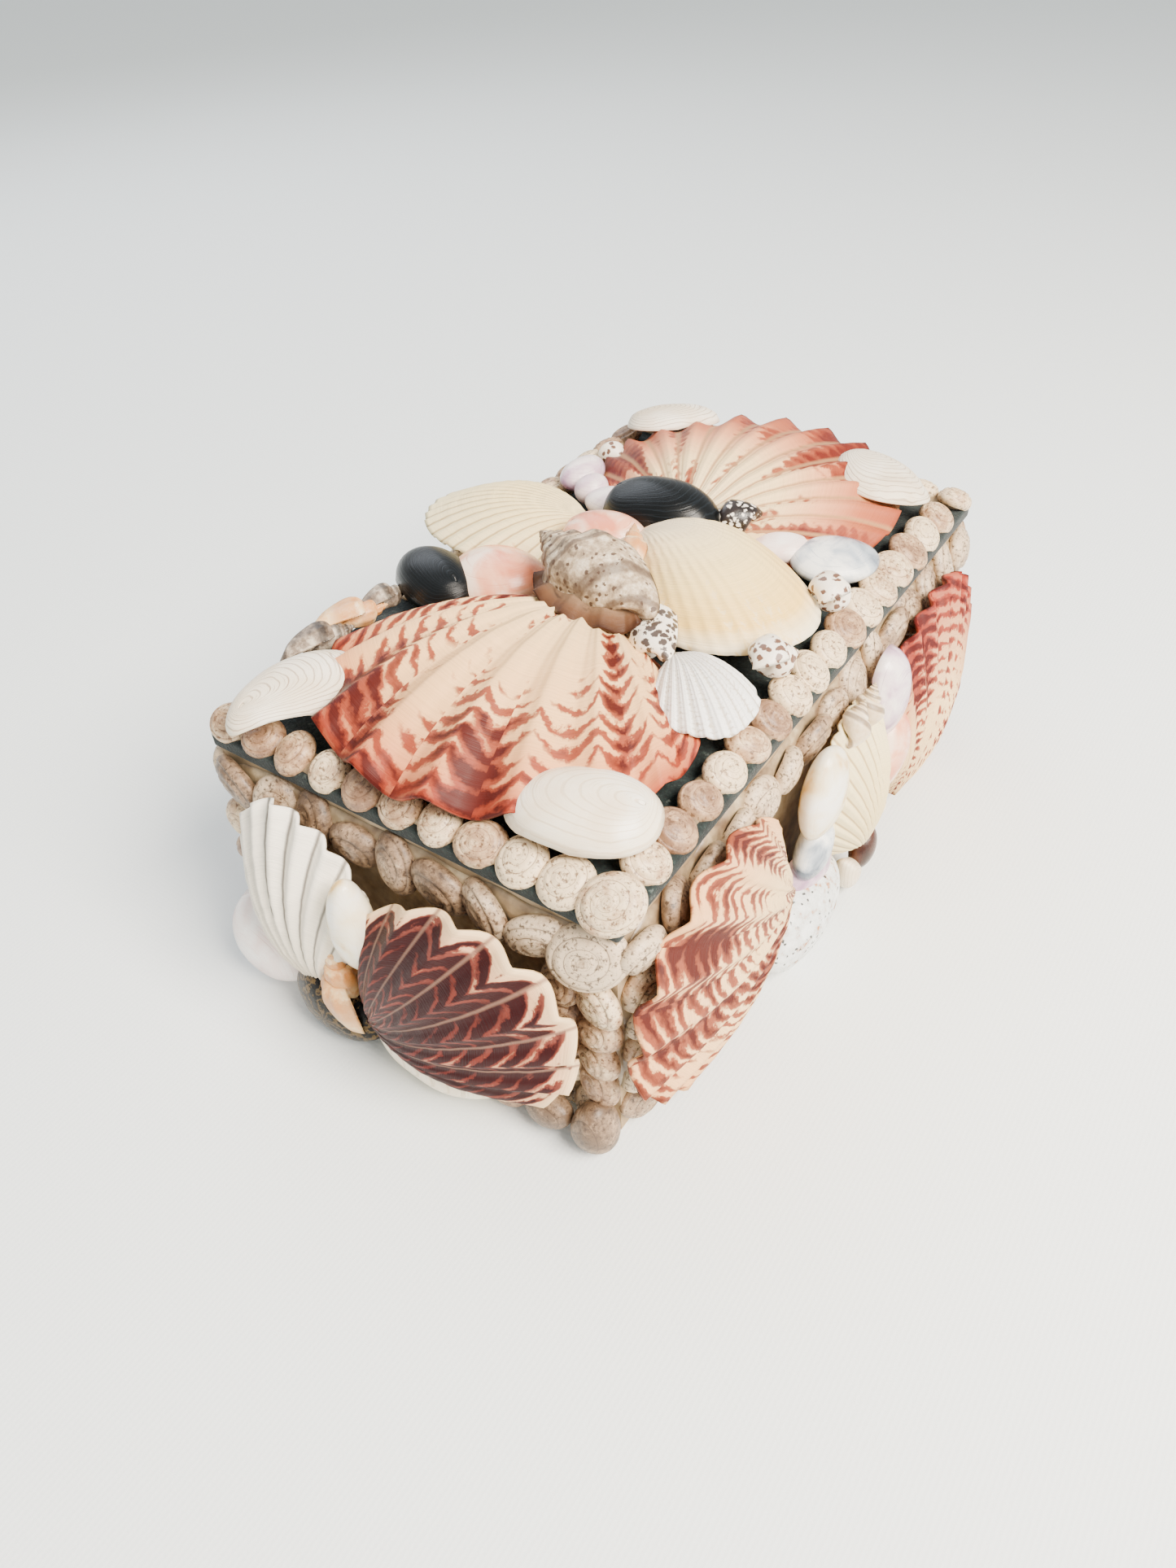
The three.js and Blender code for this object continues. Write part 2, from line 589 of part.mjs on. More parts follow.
place(left, "left_wall_cockle", CREAM, { x: 0, y: 0.2, lift: ON_WALL_ROW, heading: 92 },
  valve({ length: wallFill(0.65), width: wallFill(0.575), height: 12, ribs: 8, ribHeight: 1.2, levels: 2 }));
place(left, "left_front_scallop", ROSE, { x: 0.147, y: 0.35, lift: ON_WALL_ROW, heading: 14 },
  valve({ length: wallFill(0.875), width: wallFill(0.85), height: 12, ribs: 9, ribHeight: 2, levels: 2 }));
place(left, "left_back_scallop", ROSE, { x: -0.147, y: 0.35, lift: ON_WALL_ROW, heading: 166 },
  valve({ length: wallFill(0.875), width: wallFill(0.85), height: 12, ribs: 9, ribHeight: 2, levels: 2 }));
place(back, "back_wall_cockle", IVORY, { x: -0.094, y: 0.25, lift: ON_WALL_ROW, heading: 118 },
  valve({ length: wallFill(0.675), width: wallFill(0.575), height: 12, ribs: 8, ribHeight: 1.2, levels: 2 }));
place(back, "back_wall_scallop", MAROON, { x: -0.063, y: 0.2, lift: ON_WALL_ROW, heading: 38 },
  valve({ length: wallFill(0.825), width: wallFill(0.8), height: 12, ribs: 9, ribHeight: 2, levels: 2 }));

// Where two shells would meet, the one that was placed later is hollowed to take the other.
// The hollow is the plain outer form of the shell that lies in it, with a small gap all round.

const FINENESS = 0.1;

function plainForm(geometry) {
  const position = geometry.attributes.position;
  const points = Array.from({ length: position.count }, (_, corner) =>
    new THREE.Vector3().fromBufferAttribute(position, corner));
  return new ConvexGeometry(points);
}

function seatCutter(mesh) {
  const plain = mesh.userData.isHollow ? mesh.geometry : plainForm(mesh.geometry);
  return grown(plain, GAP + FINENESS);
}

box.updateMatrixWorld(true);
carcass.userData.isHollow = true;
const seats = [carcass, lidBoard, ...rows];
feature.forEach((mesh) => {
  let solid = toSolid(mesh.geometry);
  const bounds = new THREE.Box3().setFromObject(mesh, true);
  const toMesh = mesh.matrixWorld.clone().invert();
  seats.forEach((seat) => {
    const seatBounds = new THREE.Box3().setFromObject(seat, true).expandByScalar(GAP);
    if (!bounds.intersectsBox(seatBounds)) {
      return;
    }
    const cutter = seatCutter(seat);
    cutter.applyMatrix4(toMesh.clone().multiply(seat.matrixWorld));
    solid = solid.subtract(toSolid(cutter));
  });
  mesh.geometry = toGeometry(largestBody(solid).simplify(FINENESS));
  seats.push(mesh);
});

export default box;
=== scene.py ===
import math
import random

import bpy
import numpy as np
from mathutils import Matrix, Vector


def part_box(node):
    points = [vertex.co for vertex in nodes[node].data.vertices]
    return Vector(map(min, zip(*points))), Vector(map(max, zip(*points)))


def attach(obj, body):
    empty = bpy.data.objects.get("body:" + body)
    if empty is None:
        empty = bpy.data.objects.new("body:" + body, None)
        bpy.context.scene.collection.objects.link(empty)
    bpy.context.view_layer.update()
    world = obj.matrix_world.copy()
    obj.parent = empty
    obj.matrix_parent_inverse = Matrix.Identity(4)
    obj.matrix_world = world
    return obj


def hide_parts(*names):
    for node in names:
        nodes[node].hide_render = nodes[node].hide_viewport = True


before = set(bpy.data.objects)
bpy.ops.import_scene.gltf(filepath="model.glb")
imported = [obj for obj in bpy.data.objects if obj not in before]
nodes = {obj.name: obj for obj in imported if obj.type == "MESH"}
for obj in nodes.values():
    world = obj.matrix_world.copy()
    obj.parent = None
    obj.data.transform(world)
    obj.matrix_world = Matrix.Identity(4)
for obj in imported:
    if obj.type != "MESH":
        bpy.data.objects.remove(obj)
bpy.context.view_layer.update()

# The camera stands in front of the right-hand corner and looks down on the lid.
# Its place and its lens were solved from the corners of the lid.
EYE = Vector((0.1514, -0.2392, 0.2714))
LOOK_AZIMUTH, LOOK_ELEVATION, LOOK_ROLL = math.radians(35.62), math.radians(42.48), math.radians(-2.69)
back = Vector((
    math.sin(LOOK_AZIMUTH) * math.cos(LOOK_ELEVATION),
    -math.cos(LOOK_AZIMUTH) * math.cos(LOOK_ELEVATION),
    math.sin(LOOK_ELEVATION),
))
level = Vector((0, 0, 1)).cross(back).normalized()
upright = back.cross(level)
side = level * math.cos(LOOK_ROLL) + upright * math.sin(LOOK_ROLL)
top = upright * math.cos(LOOK_ROLL) - level * math.sin(LOOK_ROLL)
bpy.ops.object.camera_add(location=EYE)
camera = bpy.context.object
camera.matrix_world = Matrix.Translation(EYE) @ Matrix((side, top, back)).transposed().to_4x4()
camera.data.lens = 25.4
camera.data.sensor_width = 36
camera.data.clip_start = 0.01
bpy.context.scene.camera = camera


# Materials are built from nodes. A colour is written as an sRGB hex value.
def linear(hex_colour):
    shades = [int(hex_colour[i:i + 2], 16) / 255 for i in (1, 3, 5)]
    return [s / 12.92 if s <= 0.04045 else ((s + 0.055) / 1.055) ** 2.4 for s in shades] + [1]


def add(tree, kind, settings, **links):
    """Adds a node. A setting is an input's name or number, a property, or the stops of a ramp."""
    node = tree.nodes.new("ShaderNode" + kind)
    for key, value in settings.items():
        if key == "stops":
            ramp = node.color_ramp.elements
            while len(ramp) < len(value):
                ramp.new(0.5)
            for stop, (place, colour) in zip(ramp, value):
                stop.position = place
                stop.color = linear(colour) if isinstance(colour, str) else (colour, colour, colour, 1)
        elif isinstance(key, int) or key in node.inputs:
            node.inputs[key].default_value = value
        else:
            setattr(node, key, value)
    for key, source in links.items():
        target = int(key[2:]) if key.startswith("in") and key[2:].isdigit() else key.replace("_", " ")
        socket = source.outputs[0] if hasattr(source, "outputs") else source
        tree.links.new(socket, node.inputs[target])
    return node


def new_material(name):
    material = bpy.data.materials.new(name)
    material.use_nodes = True
    tree = material.node_tree
    return material, tree, tree.nodes["Principled BSDF"]


# The table is a plain pale cloth, woven of cotton and spread flat, and the box stands on it.
# The cloth is white and matt, with a weave too fine to see from a step away.
bpy.ops.object.select_all(action="DESELECT")
bpy.ops.mesh.primitive_plane_add(size=6, location=(0, 0, 0))
table = bpy.context.object
table.name = "table_cloth"
cloth, tree, shader = new_material("pale cotton tablecloth")
shader.inputs["Base Color"].default_value = linear("#eff4f3")
shader.inputs["Roughness"].default_value = 0.9
shader.inputs["Specular IOR Level"].default_value = 0.2
where = add(tree, "TexCoord", {})
weave = add(tree, "TexVoronoi", {"Scale": 700, "Randomness": 0.15}, Vector=where.outputs["Object"])
bump = add(tree, "Bump", {"Strength": 0.25, "Distance": 0.0004}, Height=weave.outputs["Distance"])
tree.links.new(bump.outputs[0], shader.inputs["Normal"])
table.data.materials.append(cloth)

# Soft daylight: a broad warm window to the right, a weaker and cooler one behind on the left,
# and a pale room all round that keeps the shadows light.
for name, at, size, power, tint in (
    ("window_right", (0.7, -0.15, 0.8), 0.5, 42, "#fff4e6"),
    ("window_left", (-0.75, 0.35, 0.85), 0.9, 9, "#eef4ff"),
):
    bpy.ops.object.light_add(type="AREA", location=at)
    window = bpy.context.object
    window.name = name
    window.data.size = size
    window.data.energy = power
    window.data.color = linear(tint)[:3]
    window.rotation_euler = (Vector((0, 0, 0.05)) - Vector(at)).to_track_quat("-Z", "Y").to_euler()
room = bpy.data.worlds.new("pale_room")
bpy.context.scene.world = room
room.use_nodes = True
room.node_tree.nodes["Background"].inputs["Color"].default_value = linear("#eef2f3")
room.node_tree.nodes["Background"].inputs["Strength"].default_value = 1.0

# The carcass is a box of thin hardboard, sawn and glued at its corners, and open under the lid.
# It is the frame's own solid and shows between the shells.
# Its board gives the eye a matt tan with brown stains, a little rough.
board, tree, shader = new_material("raw hardboard, dusty")
where = add(tree, "TexCoord", {})
stain = add(tree, "TexNoise", {"Scale": 60, "Detail": 6, "Roughness": 0.65}, Vector=where.outputs["Object"])
shade = add(tree, "ValToRGB", {"stops": [(0.3, "#6d5841"), (0.5, "#a68c69"), (0.7, "#cdb591")]}, Fac=stain)
tree.links.new(shade.outputs[0], shader.inputs["Base Color"])
shader.inputs["Roughness"].default_value = 0.85
bump = add(tree, "Bump", {"Strength": 0.4, "Distance": 0.0006}, Height=stain.outputs[0])
tree.links.new(bump.outputs[0], shader.inputs["Normal"])
carcass = nodes["carcass"]
carcass.data.materials.clear()
carcass.data.materials.append(board)

# The lid is a thin board wrapped in cotton velvet, which is folded round its edge and glued below.
# It lies loose on the walls. A block is bevelled all round, since the cloth rounds every edge.
# The velvet gives the eye a matt green, nearly black, that pales at a grazing look and is full of lint.
lid_low, lid_high = (Vector(corner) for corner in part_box("lid_board"))
bpy.ops.object.select_all(action="DESELECT")
bpy.ops.mesh.primitive_cube_add(size=1, location=(lid_low + lid_high) / 2, scale=lid_high - lid_low)
lid_cover = bpy.context.object
lid_cover.name = "velvet_lid"
bpy.ops.object.transform_apply(location=True, rotation=True, scale=True)
bpy.ops.object.mode_set(mode="EDIT")
bpy.ops.mesh.select_all(action="SELECT")
bpy.ops.mesh.bevel(offset=0.0011, segments=4, affect="EDGES")
bpy.ops.object.mode_set(mode="OBJECT")
bpy.ops.object.shade_smooth_by_angle(angle=math.radians(50))
velvet, tree, shader = new_material("cotton velvet, dark green")
where = add(tree, "TexCoord", {})
nap = add(tree, "TexNoise", {"Scale": 900, "Detail": 4, "Roughness": 0.7}, Vector=where.outputs["Object"])
dust = add(tree, "TexNoise", {"Scale": 210, "Detail": 8, "Roughness": 0.75}, Vector=where.outputs["Object"])
pile = add(tree, "ValToRGB", {"stops": [(0.35, "#0b1414"), (0.55, "#182423"), (0.7, "#2c3a36")]}, Fac=nap)
lint = add(tree, "ValToRGB", {"stops": [(0.6, 0.0), (0.72, 0.6)]}, Fac=dust)
shade = add(tree, "MixRGB", {"Color2": linear("#8f9a92")}, Fac=lint, Color1=pile)
tree.links.new(shade.outputs[0], shader.inputs["Base Color"])
shader.inputs["Roughness"].default_value = 0.95
shader.inputs["Sheen Weight"].default_value = 0.15
shader.inputs["Sheen Roughness"].default_value = 0.4
bump = add(tree, "Bump", {"Strength": 0.6, "Distance": 0.0006}, Height=nap.outputs[0])
tree.links.new(bump.outputs[0], shader.inputs["Normal"])
lid_cover.data.materials.append(velvet)
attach(lid_cover, "root")
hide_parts("lid_board")


# Every shell is glued to one side of the box. A side is a panel with its own x to the right,
# y up or away, and z outwards. Shells are shaped in millimetres and then laid on their panel.
low, high = (Vector(corner) * 1000 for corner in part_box("carcass"))


def wall(x, y, turn):
    """The panel of a wall: its origin on the ground in the middle of the wall, turned to face outwards."""
    standing = Matrix.Rotation(math.radians(turn), 4, "Z") @ Matrix.Rotation(math.pi / 2, 4, "X")
    return Matrix.Translation((x, y, 0)) @ standing


lid = Matrix.Translation((0, 0, lid_high.z * 1000))
front = wall(0, low.y, 0)
right = wall(high.x, 0, 90)
rear = wall(0, high.y, 180)
left = wall(low.x, 0, -90)


SEAM = 0.004  # points of a closed grid that lie nearer than this are one point, in mm


def surface(name, columns, rows, shape, wall_thickness=0):
    """A grid bent to a shape: the shape takes across and along, both from 0 to 1, and gives x, y and z."""
    bpy.ops.object.select_all(action="DESELECT")
    bpy.ops.mesh.primitive_grid_add(x_subdivisions=columns, y_subdivisions=rows, size=1)
    piece = bpy.context.object
    piece.name = name
    flat = np.empty(len(piece.data.vertices) * 3)
    piece.data.vertices.foreach_get("co", flat)
    across, along = flat[0::3] + 0.5, flat[1::3] + 0.5
    bent = np.stack(shape(across, along), axis=1)
    piece.data.vertices.foreach_set("co", bent.ravel())
    bpy.ops.object.mode_set(mode="EDIT")
    bpy.ops.mesh.select_all(action="SELECT")
    bpy.ops.mesh.remove_doubles(threshold=SEAM)
    bpy.ops.object.mode_set(mode="OBJECT")
    if wall_thickness:
        shell = piece.modifiers.new("wall", "SOLIDIFY")
        shell.thickness = wall_thickness
        shell.offset = -1
        bpy.ops.object.modifier_apply(modifier=shell.name)
    bpy.ops.object.shade_smooth()
    return piece


def lay(piece, panel, x, y, lift, heading=90, pitch=0, roll=0):
    """Lays a piece on a panel. Heading is where it points, pitch lifts that end, roll lifts its left side."""
    turn = Matrix.Rotation(math.radians(heading - 90), 4, "Z")
    tip = Matrix.Rotation(math.radians(pitch), 4, "X") @ Matrix.Rotation(math.radians(roll), 4, "Y")
    piece.data.transform(Matrix.Scale(0.001, 4) @ panel @ Matrix.Translation((x, y, lift)) @ turn @ tip)


def keep(piece, material, slot, *replaced):
    """Gives a finished piece its material and its body, and hides the solids that it stands for."""
    piece.data.materials.clear()
    piece.data.materials.append(material)
    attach(piece, "root")
    if replaced:
        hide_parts(*replaced)


def waves(x, y, seed):
    """Smooth unevenness from about -1 to 1, made of a few sine waves."""
    dice = random.Random(seed)
    total = 0
    for step in range(5):
        turn, size, start = dice.uniform(0, math.pi), 1.25 ** step, dice.uniform(0, 6.3)
        total = total + np.sin((x * math.cos(turn) + y * math.sin(turn)) * size + start) / 2.6
    return total


# The borders are rows of button snails, low coiled shells as wide as a thumbnail. They are pressed
# side by side into a bead of hot-melt glue, along the rim of the lid and round every wall.
# One snail is shaped once and copied along each row, every copy a little different in size and tilt.
SPIRAL = 1.5  # how far the seam turns on its way in, in turns for each natural log of the radius


def button(across, along):
    """A low coil, 1 wide and 1 high: a lens with a groove that winds in towards its middle."""
    angle, dip = 2 * np.pi * across, along * 0.72 * np.pi
    winding = (across - SPIRAL * np.log(np.maximum(along, 0.02))) % 1
    groove = np.exp(-((np.minimum(winding, 1 - winding) / 0.13) ** 2)) * np.clip((0.62 - along) * 8, 0, 1)
    high = np.cos(dip) * np.where(dip < np.pi / 2, 0.68, 0.5) + 0.27 - 0.09 * groove
    return np.sin(dip) ** 0.85 / 2 * np.cos(angle), np.sin(dip) ** 0.85 / 2 * np.sin(angle), high


def snail_material(name, darkest, middle, palest, dark_marks):
    """Worn snail shell: speckled chalk with a thin dark line along the seam that winds in, faintly polished.
    """
    material, tree, shader = new_material(name)
    where = add(tree, "TexCoord", {})
    tint = add(tree, "Attribute", {"attribute_name": "tint"})
    turned = add(tree, "SeparateXYZ", {}, Vector=where.outputs["UV"])
    place = where.outputs["Object"]
    cloud = add(tree, "TexNoise", {"Scale": 170, "Detail": 6, "Roughness": 0.75}, Vector=place)
    speck = add(tree, "TexNoise", {"Scale": 900, "Detail": 4, "Roughness": 0.65}, Vector=place)
    mixed = add(tree, "Math", {"operation": "MULTIPLY_ADD", 1: 0.42}, in0=tint.outputs["Fac"], in2=cloud)
    shade = add(tree, "ValToRGB", {"stops": [(0.45, darkest), (0.62, middle), (0.8, palest)]}, Fac=mixed)
    spots = add(tree, "ValToRGB", {"stops": [(0.37, 0.85), (0.47, 0.0)]}, Fac=speck)
    spotted = add(tree, "MixRGB", {"Color2": linear(dark_marks)}, Fac=spots, Color1=shade)
    depth = add(tree, "Math", {"operation": "LOGARITHM", 1: math.e}, in0=turned.outputs["Y"])
    winding = add(tree, "Math", {"operation": "MULTIPLY_ADD", 1: -SPIRAL}, in0=depth, in2=turned.outputs["X"])
    phase = add(tree, "Math", {"operation": "PINGPONG", 1: 0.5}, in0=winding)
    seam = add(tree, "ValToRGB", {"stops": [(0.0, 0.75), (0.07, 0.0)]}, Fac=phase)
    sides = add(tree, "ValToRGB", {"stops": [(0.4, 1.0), (0.58, 0.0)]}, Fac=turned.outputs["Y"])
    line = add(tree, "Math", {"operation": "MULTIPLY"}, in0=seam, in1=sides)
    lined = add(tree, "MixRGB", {"Color2": linear(dark_marks)}, Fac=line, Color1=spotted)
    tree.links.new(lined.outputs[0], shader.inputs["Base Color"])
    gloss = add(tree, "MapRange", {"To Min": 0.3, "To Max": 0.6}, Value=cloud)
    tree.links.new(gloss.outputs[0], shader.inputs["Roughness"])
    bump = add(tree, "Bump", {"Strength": 0.35, "Distance": 0.0004}, Height=speck)
    tree.links.new(bump.outputs[0], shader.inputs["Normal"])
    return material


# Warm beige with brown specks for the rim and columns. The walls' rows take a darker, greyer copy: the foot
# rows are greyer snails, and on the top rows under the lid the darker colour is painted shade on beige snails.
beige_snail = snail_material("button snail, worn beige", "#84634a", "#ba9672", "#e8cfa8", "#5c3f2a")
grey_and_shaded_snail = snail_material("button snail, grey and chalky", "#66503c", "#a08468", "#d4bc9c", "#3e2d21")

# Old glue between the shells: brown and honey-coloured in clouds, lumpy and a little shiny.
glue, tree, shader = new_material("hot-melt glue, yellowed")
where = add(tree, "TexCoord", {})
cloud = add(tree, "TexNoise", {"Scale": 160, "Detail": 4}, Vector=where.outputs["Object"])
shade = add(tree, "ValToRGB", {"stops": [(0.35, "#6b5640"), (0.6, "#a18b6b"), (0.75, "#c9b692")]}, Fac=cloud)
tree.links.new(shade.outputs[0], shader.inputs["Base Color"])
shader.inputs["Roughness"].default_value = 0.35
bump = add(tree, "Bump", {"Strength": 0.5, "Distance": 0.001}, Height=cloud)
tree.links.new(bump.outputs[0], shader.inputs["Normal"])

one_snail = surface("one_snail", 30, 22, button)
RIM_SNAIL, WALL_SNAIL, FOOT_SNAIL, COLUMN_SNAIL = 13, 15.3, 14.4, 12
RIM_HIGH, WALL_HIGH = 5.8, 5.4
SPREAD = 0.07  # how far a snail strays from the usual size, as a share of it


def unlike(copy, kind):
    """Sets one copy apart from the next: a value from -1 to 1, another for each kind of change."""
    return math.sin(copy * 12.9 + kind * 78.2 + 1)


def snail_row(name, panel, start, end, size, height, material, slot,
              tilt=8, lean=0, plump=1.0, bead_width=0.42, last=1.0, worn=0.0):
    """A row of snails from start to end on a panel, and the lumpy bead of glue that holds them.

    Tilt is how unevenly they lie, lean how far all tip outwards, last the size of the end snail beside
    the others, and worn how far they depart from round. Where the frame has a solid of the same name,
    the row stands for it.
    """
    run, dice = Vector(end) - Vector(start), random.Random(name)
    count = round(run.length / (size * 0.95))
    pitch, along = run.length / count, run.normalized()
    outward = Vector((along.y, -along.x))
    copies = []
    for copy in range(count):
        place = Vector(start) + along * pitch * (copy + 0.5) - outward * 0.5 * unlike(copy, 3)
        wide, high = size * (1 + SPREAD * unlike(copy, 1)), height * (1 + SPREAD * unlike(copy, 2))
        if copy == count - 1:
            wide, high = size * last, height * last
        snail = one_snail.copy()
        snail.data = one_snail.data.copy()
        bpy.context.collection.objects.link(snail)
        shade = snail.data.attributes.new("tint", "FLOAT", "POINT")
        shade.data.foreach_set("value", [dice.uniform(0, 1)] * len(snail.data.vertices))
        longer, shorter = dice.uniform(1.0, 1.1 + worn), dice.uniform(0.88 - worn, 1.02)
        stretch = Matrix.Diagonal((wide * plump * longer, wide * plump * shorter, high * plump, 1))
        spin = Matrix.Rotation(dice.uniform(0, 6.28), 4, "Z")
        tip = Matrix.Rotation(math.radians(lean + dice.uniform(-tilt, tilt)), 4, along.to_3d())
        sway = Matrix.Rotation(math.radians(dice.uniform(-tilt, tilt)), 4, outward.to_3d())
        seat = Matrix.Translation((place.x, place.y, 0.4))
        snail.data.transform(Matrix.Scale(0.001, 4) @ panel @ seat @ tip @ sway @ spin @ stretch)
        copies.append(snail)
    half = run.length / 2

    def bead(across, along_row):
        turn = np.pi * across
        swell = 1 + 0.16 * waves(along_row * half / 2, across * 2, name)
        closed = np.sqrt(np.clip(1 - np.abs(2 * along_row - 1) ** 14, 0, 1))
        return (
            (2 * along_row - 1) * (half - 2),
            np.cos(turn) * size * bead_width * swell * closed,
            np.sin(turn) * height * 0.36 * swell * closed,
        )

    strip = surface(name + "_glue", 8, max(12, int(half)), bead)
    middle = (Vector(start) + Vector(end)) / 2
    lay(strip, panel, middle.x, middle.y, 0.1, heading=90 + math.degrees(math.atan2(along.y, along.x)))
    bpy.ops.object.select_all(action="DESELECT")
    for snail in copies:
        snail.select_set(True)
    bpy.context.view_layer.objects.active = copies[0]
    bpy.ops.object.join()
    row = bpy.context.object
    row.name = name
    keep(row, material, slot, *(solid for solid in nodes if solid == name.replace("_row", "_snails")))
    keep(strip, glue, slot)


# The rim rows lie just inside the lid's edge. Those at the ends run to the corners, and those along
# the sides stop where they meet them.
rim_x, rim_y = lid_high.x * 1000 - 5.6, lid_high.y * 1000 - 5.4
corner_x = rim_x + 7
reach = RIM_SNAIL / 2 * (1 + SPREAD) + 0.5
inner = rim_y - reach - 0.3
left_rim_end = -0.155 * 2 * lid_high.y * 1000  # a string of small whelks has the rest of this side
for name, start, end, last in (
    ("front_rim_row", (-corner_x, -rim_y), (corner_x, -rim_y), 1.25),
    ("back_rim_row", (corner_x, rim_y), (-corner_x, rim_y), 1),
    ("right_rim_row", (rim_x, -inner), (rim_x, inner), 1),
    ("left_rim_row", (-rim_x, inner), (-rim_x, left_rim_end), 1),
):
    snail_row(name, lid, start, end, RIM_SNAIL, RIM_HIGH, beige_snail, "beige_snails",
              lean=30, bead_width=0.28, last=last)

# Each wall has a row close under the lid and one just clear of the ground, with upright columns between.
top_reach, foot_reach = WALL_SNAIL / 2 * (1 + SPREAD), FOOT_SNAIL / 2 * (1 + SPREAD)
wall_top, wall_foot = high.z - top_reach - 0.5, foot_reach + 0.8
column_low, column_high = wall_foot + foot_reach + 0.8, wall_top - top_reach - 0.8
for side_name, panel, half in (
    ("front", front, high.x),
    ("right", right, high.y),
    ("back", rear, high.x),
    ("left", left, high.y),
):
    # The top rows are beige snails given the darker grey copy, so the shade under the lid's edge is painted
    # into their colour.
    snail_row(side_name + "_top_row", panel, (-half, wall_top), (half, wall_top), WALL_SNAIL, WALL_HIGH,
              grey_and_shaded_snail, "grey_snails", tilt=24, plump=1.16, worn=0.12)
    snail_row(side_name + "_foot_row", panel, (-half, wall_foot), (half, wall_foot), FOOT_SNAIL, WALL_HIGH,
              grey_and_shaded_snail, "grey_snails", tilt=20, plump=0.98, worn=0.12)
for side_name, panel in (("front", front), ("back", rear)):
    for end_name, way in (("left", -1), ("right", 1)):
        x = way * (high.x - COLUMN_SNAIL / 2 + 2)
        snail_row(f"{side_name}_{end_name}_column_row", panel, (x, column_low), (x, column_high),
                  COLUMN_SNAIL, WALL_HIGH, beige_snail, "beige_snails", tilt=20, plump=1.18)
for end_name, x in (("front", -high.y + 7), ("back", high.y - 7)):
    snail_row(f"right_{end_name}_corner_row", right, (x, column_low), (x, column_high),
              COLUMN_SNAIL, WALL_HIGH, beige_snail, "beige_snails", tilt=20, plump=1.15)
snail_row("front_right_inner_row", front, (high.x - 15, column_low), (high.x - 15, column_high),
          11, WALL_HIGH, beige_snail, "beige_snails", tilt=25, plump=1.1)
bpy.data.objects.remove(one_snail)


# Scallops and cockles are halves of real bivalves, glued on with the hollow side down. Each is a thin
# bowl of chalky shell whose ribs fan out from a beak to a wavy edge, with a fine ledge for each season.
TURN = 6.283  # one full wave of a sine
ON_RIM, ON_ROW = 8.63, 7.23  # how high a shell sits that lies over a border of snails, in mm


def valve(name, length, width, height, ribs, relief, ruffle=0.0, thickness=0.9):
    """One ribbed half, its beak at the origin and its edge towards y. Ruffle lifts the ribs at the edge."""
    glue_under = 1.8
    full = 0.38  # the bowl is highest this far from the beak, as a share of its length

    def shape(across, along):
        fan = 2 * across - 1
        around = np.radians(180 + fan * 142)
        ridge = 1 - 2 * np.abs(np.cos(np.pi * ribs * across)) ** 1.5
        side = 1 - np.abs(fan) ** 3
        reach = (1 + 0.4 * relief / length * ridge + 0.014 * waves(fan * 8, 0, name)) * along
        towards_edge = ((along - full) / (1 - full)) ** 2
        towards_beak = 0.5 * ((full - along) / full) ** 2
        swell = 1 - np.where(along > full, towards_edge, towards_beak)
        ledge = 0.14 * waves(fan * 3, along * 38 + ridge * 0.8, name + "ledge")
        frill = ruffle * ridge * np.clip((along - 0.8) / 0.2, 0, 1) ** 2
        lumps = 0.02 * height * waves(fan * 3, along * 4, name)
        raised = relief * 0.72 * ridge * along ** 0.8 + ledge + frill + lumps
        high = glue_under + height * swell * side + raised * side
        return (
            -width / 2 * np.sin(around) * reach,
            length / 2 * (1 - np.cos(around)) * reach,
            high,
        )

    return surface(name, ribs * 10, 44, shape, thickness)


